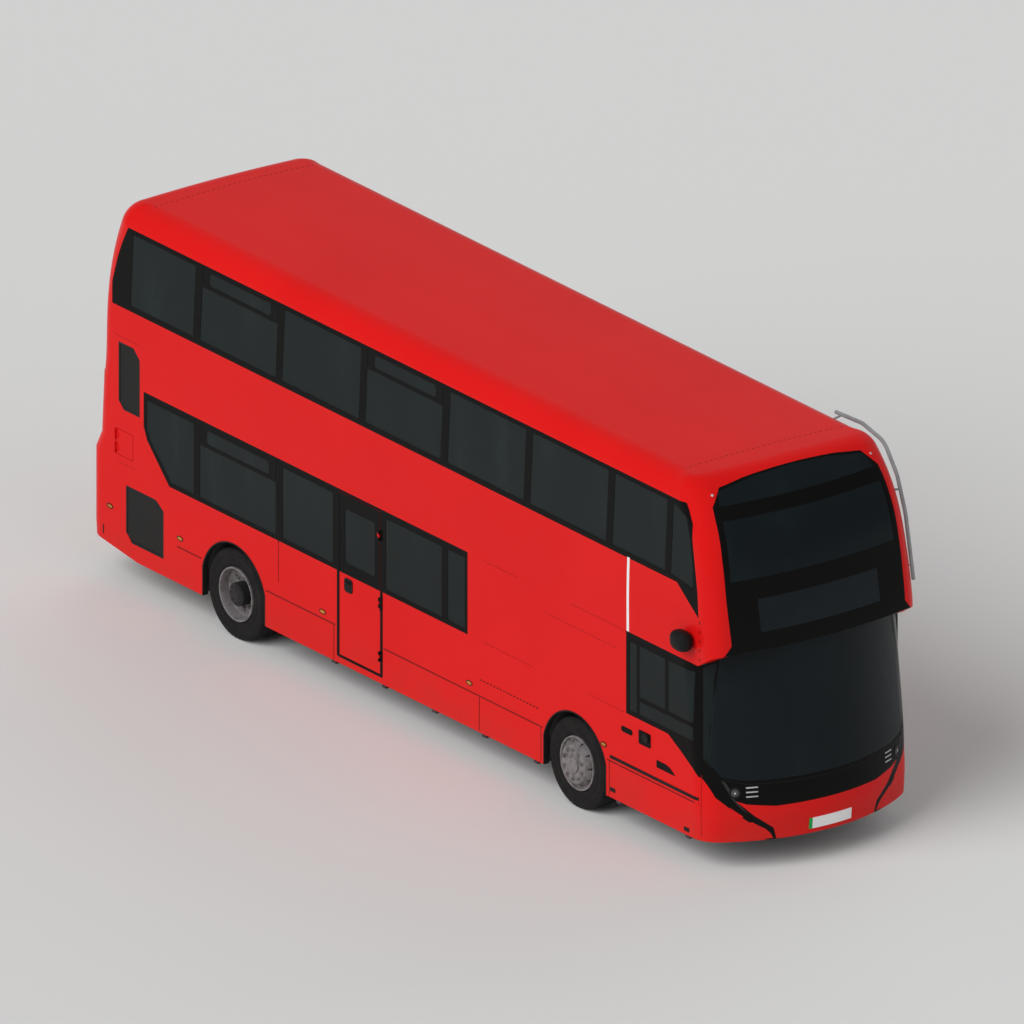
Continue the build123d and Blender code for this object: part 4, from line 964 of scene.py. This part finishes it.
# %% The solids of a node
def solids_of(name):
    """The separate closed solids of a CAD node: the corners of each and the ends of its box."""
    thing = nodes[name]
    places, parent, keys = {}, [], []

    def root(k):
        while parent[k] != k:
            parent[k] = parent[parent[k]]
            k = parent[k]
        return k

    for vertex in thing.data.vertices:
        key = tuple(round(v, 4) for v in thing.matrix_world @ vertex.co)
        if key not in places:
            places[key] = len(parent)
            parent.append(len(parent))
        keys.append(places[key])
    for face in thing.data.polygons:
        first = root(keys[face.vertices[0]])
        for k in face.vertices[1:]:
            parent[root(keys[k])] = first
    groups = {}
    for key, k in places.items():
        groups.setdefault(root(k), []).append(Vector(key))
    return [
        (corners, *(Vector(end(c[k] for c in corners) for k in range(3)) for end in (min, max)))
        for corners in groups.values()
    ]


lamp_boxes = [(low, high) for _, low, high in solids_of("side_markers")]
print(len(lamp_boxes), "marker lamps")


# %% Marker lenses and rings
def oval(centre, half_long, half_tall, turns=20):
    """The outline of an oval of a side view."""
    return [(centre.x + half_long * c, centre.z + half_tall * s) for c, s in circle(turns)]


LENS_LONG, LENS_TALL, RING_WIDTH, RING_TALL = 0.041, 0.017, 0.012, 0.0096
BROW_Z = 3.5
rings = Piece("marker_rings", "rubber_seal", skin=plain_skin)
ambers = Piece("marker_lenses", "amber_lens", skin=plain_skin)
for low, high in lamp_boxes:
    centre = (low + high) / 2
    if centre.z < BROW_Z:
        view = offside if centre.y < 0 else nearside
        lens = oval(centre, LENS_LONG, LENS_TALL)
        rings.patch(view, oval(centre, LENS_LONG + RING_WIDTH, LENS_TALL + RING_TALL), 0.005, hole=lens)
        ambers.patch(view, lens, 0.0035)
rings.done()
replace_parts(ambers.done(), "side_markers")

# %% [markdown]
# ## Wheel arches
# A rubber lip covers the cut edge of the panel round each arch, so the edge shows black, not red.
# It is one small section carried along the arch from foot to foot.

# %% Arch lips
ARCH_TOP, ARCH_STEPS, FOOT_AWAY = 0.545, 28, 0.03
LIP_OUT, LIP_IN, LIP_FACE, LIP_DEPTH = 0.010, 0.005, 0.003, 0.060
LIP_SECTION = ((LIP_OUT, LIP_FACE), (-LIP_IN, LIP_FACE), (-LIP_IN, -LIP_DEPTH), (LIP_OUT, -LIP_DEPTH))


def foot_of(view, x):
    """The lowest height at which the side panel is met at x."""
    z = 0.25
    while (found := body_skin.spot(view, (x, z))) is None or abs(found[0].y) < side_y - 0.08:
        z += 0.005
    return z


lips = Piece("arch_lips", "rubber_seal")
bend = math.acos(arch_half / ARCH_TOP)
angles = [bend + (math.pi - 2 * bend) * k / ARCH_STEPS for k in range(ARCH_STEPS + 1)]
ways = [(math.cos(a), math.sin(a)) for a in angles]
for side, view in ((-1, offside), (1, nearside)):
    for centre in (axle_x, rear_axle_x):
        front_foot, rear_foot = (
            (centre + end * arch_half, foot_of(view, centre + end * (arch_half + FOOT_AWAY)), end, 0)
            for end in (1, -1)
        )
        arc = [(centre + ARCH_TOP * c, axle_z + ARCH_TOP * s, c, s) for c, s in ways]
        rows = [
            lips.corners((x + off * c, side * (side_y + y), z + off * s) for off, y in LIP_SECTION)
            for x, z, c, s in (front_foot, *arc, rear_foot)
        ]
        lips.walls(rows)
        lips.face(*rows[0])
        lips.face(*rows[-1])
lips.done()

# %% [markdown]
# ## Tyres
# The CAD tyres are plain turned rings, which is right for rolling tests. A bus tyre shows ribs on
# its sidewall, a block shoulder and deep grooves round the tread, so each ring is replaced by a mesh
# with that profile. It is turned in many small steps, and every third step of the shoulder is cut
# back, which makes the blocks.

# %% Tyre meshes
TREAD_STEPS, LUG_STEPS, SHOULDER = 144, 3, 2
TREAD_GROOVE, LUG, TREAD_SKIN, WALL_SKIN = 0.010, 0.007, 0.0004, 0.0005
SIDEWALL = [  # radius, share of the half width
    (0.287, 0.87), (0.296, 0.93), (0.306, 0.955), (0.309, 0.945), (0.330, 0.975), (0.352, 0.990),
    (0.356, 0.975), (0.400, 0.985), (0.404, 1.0), (0.424, 1.0), (0.428, 0.985), (0.448, 0.985),
    (0.462, 0.952),
]
TREAD = [  # share of the half width, groove or not
    (0.86, 0), (0.76, 0), (0.56, 0), (0.545, 1), (0.495, 1), (0.48, 0), (0.22, 0), (0.205, 1),
    (0.155, 1), (0.14, 0), (0.0, 0),
]


def tyre_ring(piece, centre, half):
    """One tyre about the cross axis through centre, half its width to each side."""
    profile = [(r, share * half, False) for r, share in SIDEWALL] + [
        (tyre_radius - (TREAD_GROOVE if groove else TREAD_SKIN), share * half, k < SHOULDER)
        for k, (share, groove) in enumerate(TREAD)
    ]
    profile += [(r, -y, lug) for r, y, lug in profile[-2::-1]]
    rings = []
    for k, (c, s) in enumerate(circle(TREAD_STEPS)):
        cut = LUG if k % LUG_STEPS == 0 else 0.0
        spots = [(r - (cut if lug else 0.0), y) for r, y, lug in profile]
        rings.append(piece.corners(centre + Vector((reach * c, y, reach * s)) for reach, y in spots))
    piece.walls(rings + rings[:1])


for wheel in ("front_left", "front_right", "rear_left", "rear_right"):
    tread = Piece(f"treaded_tyre_{wheel}", "tyre_rubber", f"wheel_{wheel}")
    for _, low, high in solids_of(f"tyre_{wheel}"):
        tyre_ring(tread, (low + high) / 2, (high.y - low.y) / 2 - WALL_SKIN)
    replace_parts(tread.done(smooth=True), f"tyre_{wheel}")

# %% [markdown]
# ## Wheel nuts and hubs
# Ten nuts hold each wheel. They sit on the raised disc of a front wheel, and at the foot of the
# black hub of a rear one. The rays that find the disc go along the axle, so that the nuts stand on
# the metal at whatever depth it lies.

# %% Nuts and hubs
NUTS, HUB_BOLTS, BOLT_CIRCLE = 10, 8, 0.094
finishes["hub"] = plain("hub_black", (0.010, 0.010, 0.010), (0.020, 0.019, 0.019), 0.5, 200, 0.2)
NUT_PARTS = (  # washer, nut and stud
    ([(0.024, 0), (0.023, 0.004), (0.0165, 0.005)], 16),
    ([(0.0165, 0.004), (0.0165, 0.020), (0.013, 0.023)], 6),
    ([(0.010, 0.018), (0.010, 0.030), (0.007, 0.034), (0, 0.034)], 10),
)
PLATE = (
    (0.082, -0.004), (0.082, 0.004), (0.078, 0.007), (0.050, 0.008), (0.046, 0.003), (0.012, 0.003),
    (0, 0.004),
)
CAP = (
    (0.124, -0.108), (0.124, -0.012), (0.121, -0.002), (0.112, 0.004), (0.060, 0.006), (0.056, 0.010),
    (0.020, 0.011), (0, 0.011),
)
BOLT = ((0.009, 0.003), (0.009, 0.011), (0.007, 0.012), (0, 0.012))
AXLES = (
    ("front", axle_x, 0.158, "hub_plate", "wheel_paint", PLATE, 36),
    ("rear", rear_axle_x, 0.160, "hub_cap", "hub", CAP, 40),
)
for end, centre_x, nut_circle, hub_name, slot, hub_profile, hub_sides in AXLES:
    for hand, view in (("right", offside), ("left", nearside)):
        rim_skin, body = Skin(f"rim_{end}_{hand}"), f"wheel_{end}_{hand}"
        out = -view.looking
        nuts = Piece(f"nuts_{end}_{hand}", "wheel_paint", body)
        for c, s in circle(NUTS, 0.5):
            seat = rim_skin.spot(view, (centre_x + nut_circle * c, axle_z + nut_circle * s))[0]
            for profile, sides in NUT_PARTS:
                nuts.turned(profile, seat, out, sides)
        nuts.done()
        face = rim_skin.spot(view, (centre_x + 0.01, axle_z))[0]
        hub = Piece(f"{hub_name}_{hand}", slot, body)
        hub.turned(hub_profile, face, out, hub_sides)
        for c, s in circle(HUB_BOLTS) if end == "rear" else ():
            hub.turned(BOLT, face + Vector((BOLT_CIRCLE * c, 0, BOLT_CIRCLE * s)), out, 6)
        hub.done(smooth=True)

# %% [markdown]
# ## Grille mesh
# The two air grilles on each side show a fine diamond mesh of expanded metal. Modelled wire by wire
# it would cost a hundred thousand faces and shimmer from afar, so it is one dark sheet whose colour
# and bump come from two crossing waves. The near-black between the wires is painted shade for the
# holes.

# %% Grille mesh
def expanded_metal_and_hole_shade():
    """Diamond mesh: wires a little lighter than the gaps between them, which are painted shade for the
    holes.
    """
    made = Finish("expanded_metal_and_hole_shade", (0.014, 0.014, 0.014), 0.6, 0.0, Specular_IOR_Level=0.25)
    x, y, z = made.axes()
    pitch = 0.050
    turns = 2 * math.pi / pitch
    rising = ((x + z * 0.6) * turns).sine()
    falling = ((x - z * 0.6) * turns).sine()
    wire = rising.absolute().at_most(falling.absolute()).eased(0.20, 0.60)
    # The gap colour is painted shade: the dark that would show through the holes.
    made.feed("Base Color", made.mix(wire, (0.026, 0.026, 0.025), (0.0020, 0.0020, 0.0020)))
    made.bump(wire * -1.0, 0.5, 0.004)
    return made.material


finishes["mesh"] = expanded_metal_and_hole_shade()
MESH_DEPTHS = (0.004, 0.006)
UPPER_MESH = (
    (-7.748, 1.963), (-7.661, 1.882), (-7.382, 1.882), (-7.382, 2.502), (-7.489, 2.603), (-7.748, 2.603),
)
LOWER_MESH = (
    (-7.623, 0.583), (-7.521, 0.487), (-6.977, 0.487), (-6.977, 1.002), (-7.109, 1.091), (-7.623, 1.091),
)
mesh = Piece("grille_mesh", "mesh")
for side in (-1, 1):
    for outline in (UPPER_MESH, LOWER_MESH):
        layers = [
            mesh.corners((x, side * (side_y - depth), z) for x, z in drawn(*outline))
            for depth in MESH_DEPTHS
        ]
        for layer in layers:
            mesh.face(*layer)
        mesh.wall(*layers)
mesh.done()

# %% [markdown]
# ## Seats
# The CAD seats are plain blocks that stand for the mass. Real bus seats are moulded shells with a
# foam cushion and a foam back, two to a bench, covered in a hard-wearing woven cloth. Each block is
# found in the CAD mesh by itself and gets two soft forms: crowned in the middle, drawn in along the
# seams, with two sewn channels down the back. Shells, legs and grab handles are hard pieces.

# %% Soft forms
CELLS = 8
CROWN, CHANNEL = 0.16, 0.05


def soft_form(piece, at, channels=False):
    """A stuffed block; at(u, v, w) places a point of the cube from -1 to 1, with w as its front."""
    made = {}

    def corner(u, v, w):
        key = (round(u, 4), round(v, 4), round(w, 4))
        if key not in made:
            fat_u = 1 - CROWN * (v * v + w * w) / 2
            fat_v = 1 - CROWN * (u * u + w * w) / 2
            fat_w = 1 - 2.4 * CROWN * (u ** 4 + v ** 4) / 2
            depth = w * fat_w
            if channels and w > 0:
                groove = math.exp(-(((abs(u) - 0.5) / 0.09) ** 2))
                depth -= w * CHANNEL * 2 * groove * (1 - v ** 4)
            made[key] = piece.mesh.verts.new(at(u * fat_u, v * fat_v, depth))
        return made[key]

    steps = [-1 + 2 * k / CELLS for k in range(CELLS + 1)]
    for a, a2 in zip(steps, steps[1:]):
        for b, b2 in zip(steps, steps[1:]):
            square = ((a, b), (a2, b), (a2, b2), (a, b2))
            for end in (-1.0, 1.0):
                for axis in (2, 1, 0):
                    piece.face(*(corner(*p[:axis], end, *p[axis:]) for p in square))


print("a soft form has", 6 * CELLS ** 2, "faces")


# %% Places inside a bench
SEAT_GAP, SHELL, BENCH = 0.012, 0.022, 0.7


def halves(low, high):
    """The one or two sitting places across a block."""
    count = 2 if high.y - low.y > BENCH else 1
    wide = (high.y - low.y) / count
    return [(low.y + k * wide + SEAT_GAP / 2, low.y + (k + 1) * wide - SEAT_GAP / 2) for k in range(count)]


def between(start, end, share):
    """From start to end as share goes from -1 to 1."""
    return start + (share + 1) / 2 * (end - start)


def cushion_at(low, high, y0, y1):
    """Places in a cushion, above its shell."""

    def at(u, v, w):
        return between(low.x, high.x, u), between(y0, y1, v), between(low.z + SHELL, high.z, w)

    return at


def back_at(low, high, y0, y1, foot, head):
    """Places in a leaning back: foot and head are the least and the greatest x at its two ends."""

    def at(u, v, w):
        rear_x = between(foot[0], head[0], v) + SHELL
        front_x = between(foot[1], head[1], v)
        return between(rear_x, front_x, w), between(y0, y1, u), between(low.z, high.z, v)

    return at


print("bench places ready")

# %% Benches from the CAD blocks
cushions = Piece("seat_cushions", "seat_cloth")
backs = Piece("seat_backs", "seat_cloth")
shells = Piece("seat_shells", "black_trim")
legs = Piece("seat_legs", "grey_trim")
handles = Piece("seat_handles", "grab_rail")
HANDLE = (  # ahead of the back's top edge, across from the aisle, above the top
    (0.012, 0.4, -0.104), (0.006, 0.4, -0.024), (0.008, 1.0, -0.004), (0.008, 3.2, -0.004),
    (0.016, 3.8, -0.034),
)
CUSHION_TALL, CUSHION_DEEP, BACK_TALL, BACK_WIDE = 0.12, 0.35, 0.5, 0.3  # tell the blocks apart
RIM = 0.01
counts = {"cushion": 0, "back": 0, "leg": 0}
for corners, low, high in solids_of("seats"):
    size = high - low
    if size.z < CUSHION_TALL and size.x > CUSHION_DEEP:
        for y0, y1 in halves(low, high):
            soft_form(cushions, cushion_at(low, high, y0, y1))
        shells.block((low.x, low.y + RIM, low.z), (high.x - RIM, high.y - RIM, low.z + SHELL * 1.4), RIM)
        counts["cushion"] += 1
    elif size.z > BACK_TALL and size.y > BACK_WIDE:
        foot = sorted(c.x for c in corners if c.z < low.z + RIM)
        head = sorted(c.x for c in corners if c.z > high.z - RIM)
        foot, head = (foot[0], foot[-1]), (head[0], head[-1])
        for y0, y1 in halves(low, high):
            soft_form(backs, back_at(low, high, y0, y1, foot, head), channels=True)
        ring = (
            (foot[0], low.z), (foot[0] + SHELL * 1.5, low.z),
            (head[0] + SHELL * 1.5, high.z - RIM), (head[0], high.z - RIM),
        )
        sides = [shells.corners((x, y, z) for x, z in ring) for y in (low.y + RIM, high.y - RIM)]
        shells.wall(*sides)
        for side in sides:
            shells.face(*side)
        if size.y > BENCH:
            aisle, inward = (low.y, 0.05) if abs(low.y) < abs(high.y) else (high.y, -0.05)
            handles.tube([(head[0] + x, aisle + inward * y, high.z + z) for x, y, z in HANDLE], 0.011, 8)
        counts["back"] += 1
    else:
        legs.block(low, high, 0.006)
        counts["leg"] += 1
print(counts)

# %% Finish the seats
soft = cushions.done(smooth=True)
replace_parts(soft, "seats")
backs.done(smooth=True)
shells.done()
legs.done()
handles.done(smooth=True)

# %% [markdown]
# ## Back of the bus
# The back has two columns of round lamps, a service cover that lifts, and a rear window above. The
# lamps get dark bezels; a blank plate and two turn latches ride on the cover.

# %% Back details
rear_lamp_skin = Skin("rear_lamps")
rear_bezels = Piece("rear_lamp_bezels", "black_trim")
BEZEL = ((1.18, -0.010), (1.18, 0.004), (1.10, 0.009), (0.95, 0.009), (0.90, 0.001))
for _, low, high in solids_of("rear_lamps"):
    lamp_radius = (high.z - low.z) / 2
    centre = (low + high) / 2
    spot, out = rear_lamp_skin.spot(back, (centre.y, centre.z))
    rear_bezels.turned([(lamp_radius * share, along) for share, along in BEZEL], spot, out)
rear_bezels.done(smooth=True)

REAR_PLATE_Z = 0.72
rear_plate = Piece("rear_plate", "white", "rear_cover", cover_skin)
plate_ends = [(-PLATE_HALF, REAR_PLATE_Z), (PLATE_HALF, REAR_PLATE_Z)]
rear_plate.strip(back, plate_ends, PLATE_TALL, proud=0.006, step=0.05)
rear_plate.done()
latches = Piece("cover_latches", "black_trim", "rear_cover")
LATCH_Y, LATCH_Z = 0.66, 0.64
LATCH = ((0.030, -0.003), (0.030, 0.003), (0.026, 0.006), (0.010, 0.007), (0, 0.007))
for side in (-1, 1):
    spot, out = cover_skin.spot(back, (side * LATCH_Y, LATCH_Z))
    latches.turned(LATCH, spot, out, 24)
    latches.block(spot + Vector((-0.016, -0.020, -0.005)), spot + Vector((-0.004, 0.020, 0.005)), 0.003)
latches.done()

# %% [markdown]
# ## Brow lamps
# The two clear lamps on the brow of the upper deck are small lenses in round holders of the body's
# colour.

# %% Brow lamps
brow_skin = Skin("side_markers")
holders = Piece("brow_lamp_holders", "red_paint")
clear = Piece("brow_lamps", "lamp_lens")
for low, high in lamp_boxes:
    if high.z > BROW_Z:
        centre = (low + high) / 2
        spot, out = brow_skin.spot(front, (centre.y, centre.z))
        holders.turned(
            [(0.034, -0.016), (0.034, -0.002), (0.028, 0.002), (0.018, 0.003), (0, 0.003)], spot, out, 20
        )
        clear.turned([(0.014, 0.002), (0.014, 0.005), (0.009, 0.008), (0, 0.009)], spot, out, 16)
holders.done(smooth=True)
clear.done(smooth=True)

# %% [markdown]
# ## Camera pods
# The two pods that stand in for mirrors are moulded like eggs: full in the middle, with soft ends.
# Each is a ball drawn out to its CAD box, with its sides a little squared, on a short stalk.

# %% Camera pods
POD_TURNS, POD_SQUARE, STALK, STALK_UP = 28, 0.72, 0.030, 0.02


def squared(value):
    """A coordinate of the unit ball, pushed outwards so that the ball's sides fill."""
    return math.copysign(abs(value) ** POD_SQUARE, value)


pods = Piece("pods", "black_trim")
for _, low, high in solids_of("mirror_pods"):
    centre, half = (low + high) / 2, (high - low) / 2
    rows = []
    for j in range(1, POD_TURNS // 2):
        tilt = math.pi * j / (POD_TURNS // 2)
        balls = [(math.sin(tilt) * c, math.sin(tilt) * s, math.cos(tilt)) for c, s in circle(POD_TURNS)]
        rows.append(pods.corners(
            centre + Vector(squared(b) * h for b, h in zip(ball, half)) for ball in balls
        ))
    pods.walls(rows)
    for row, end in ((rows[0], 1), (rows[-1], -1)):
        pods.fan(pods.corners([centre + Vector((0, 0, end * half.z))])[0], row)
    stalk_z = centre.z + STALK_UP
    root = (centre.x, math.copysign(side_y - 0.01, centre.y), stalk_z)
    pods.tube([root, (centre.x, centre.y, stalk_z)], STALK)
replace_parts(pods.done(smooth=True), "mirror_pods")

# %% [markdown]
# ## Camera, floor and light
# The view is level-sided and without perspective, as in a product drawing: an orthographic camera
# ahead of the bus on its driver's side. The floor is pale and matt. The light is a wide soft sun
# from the driver's side, which makes the long side brightest and the roof a little darker, weak
# ones from ahead and from behind on the other side, and an even pale world that fills the shade and
# shows in glass and metal.

# %% Camera
AZIMUTH, ELEVATION = math.radians(53.76), math.radians(21.28)
FRAME_WIDTH, CAMERA_AWAY = 10.277, 40
LOOK_AT = Vector((0.014, 0.0, 2.016))
toward_camera = Vector((
    math.sin(AZIMUTH) * math.cos(ELEVATION), -math.cos(AZIMUTH) * math.cos(ELEVATION), math.sin(ELEVATION)
))
camera_data = bpy.data.cameras.new("camera")
camera_data.type = "ORTHO"
camera_data.ortho_scale = FRAME_WIDTH
camera_data.clip_end = 200
camera = bpy.data.objects.new("camera", camera_data)
camera.location = LOOK_AT + toward_camera * CAMERA_AWAY
camera.rotation_euler = toward_camera.to_track_quat("Z", "Y").to_euler()
bpy.context.scene.collection.objects.link(camera)
bpy.context.scene.camera = camera
print("camera at", [round(v, 2) for v in camera.location])


# %% Floor and lamps
def floor_plane(size):
    mesh = bpy.data.meshes.new("studio_floor")
    corners = [(-size, -size, 0), (size, -size, 0), (size, size, 0), (-size, size, 0)]
    mesh.from_pydata(corners, [], [(0, 1, 2, 3)])
    plane = bpy.data.objects.new("studio_floor", mesh)
    plane.location.z = -0.002
    bpy.context.scene.collection.objects.link(plane)
    mesh.materials.append(Finish("studio_floor", (0.70, 0.70, 0.695), 0.95).material)
    return plane


def soft_sun(name, toward, strength, spread):
    """A sun that shines from the direction toward, with shadow edges as soft as its spread."""
    data = bpy.data.lights.new(name, "SUN")
    data.energy = strength
    data.angle = math.radians(spread)
    sun = bpy.data.objects.new(name, data)
    sun.rotation_euler = Vector(toward).to_track_quat("Z", "Y").to_euler()
    sun.visible_glossy = False
    bpy.context.scene.collection.objects.link(sun)


floor_plane(120)
soft_sun("key_sun", (0.05, -0.78, 0.62), 2.45, 50)
soft_sun("front_sun", (0.93, 0.05, 0.36), 0.45, 60)
soft_sun("fill_sun", (-0.45, 0.80, 0.25), 0.90, 60)

world = bpy.data.worlds.new("studio")
world.use_nodes = True
background = world.node_tree.nodes["Background"]
background.inputs["Color"].default_value = (1, 1, 1, 1)
background.inputs["Strength"].default_value = 0.30
bpy.context.scene.world = world
bpy.context.scene.view_settings.view_transform = "Standard"
print("three soft suns and a plain world")
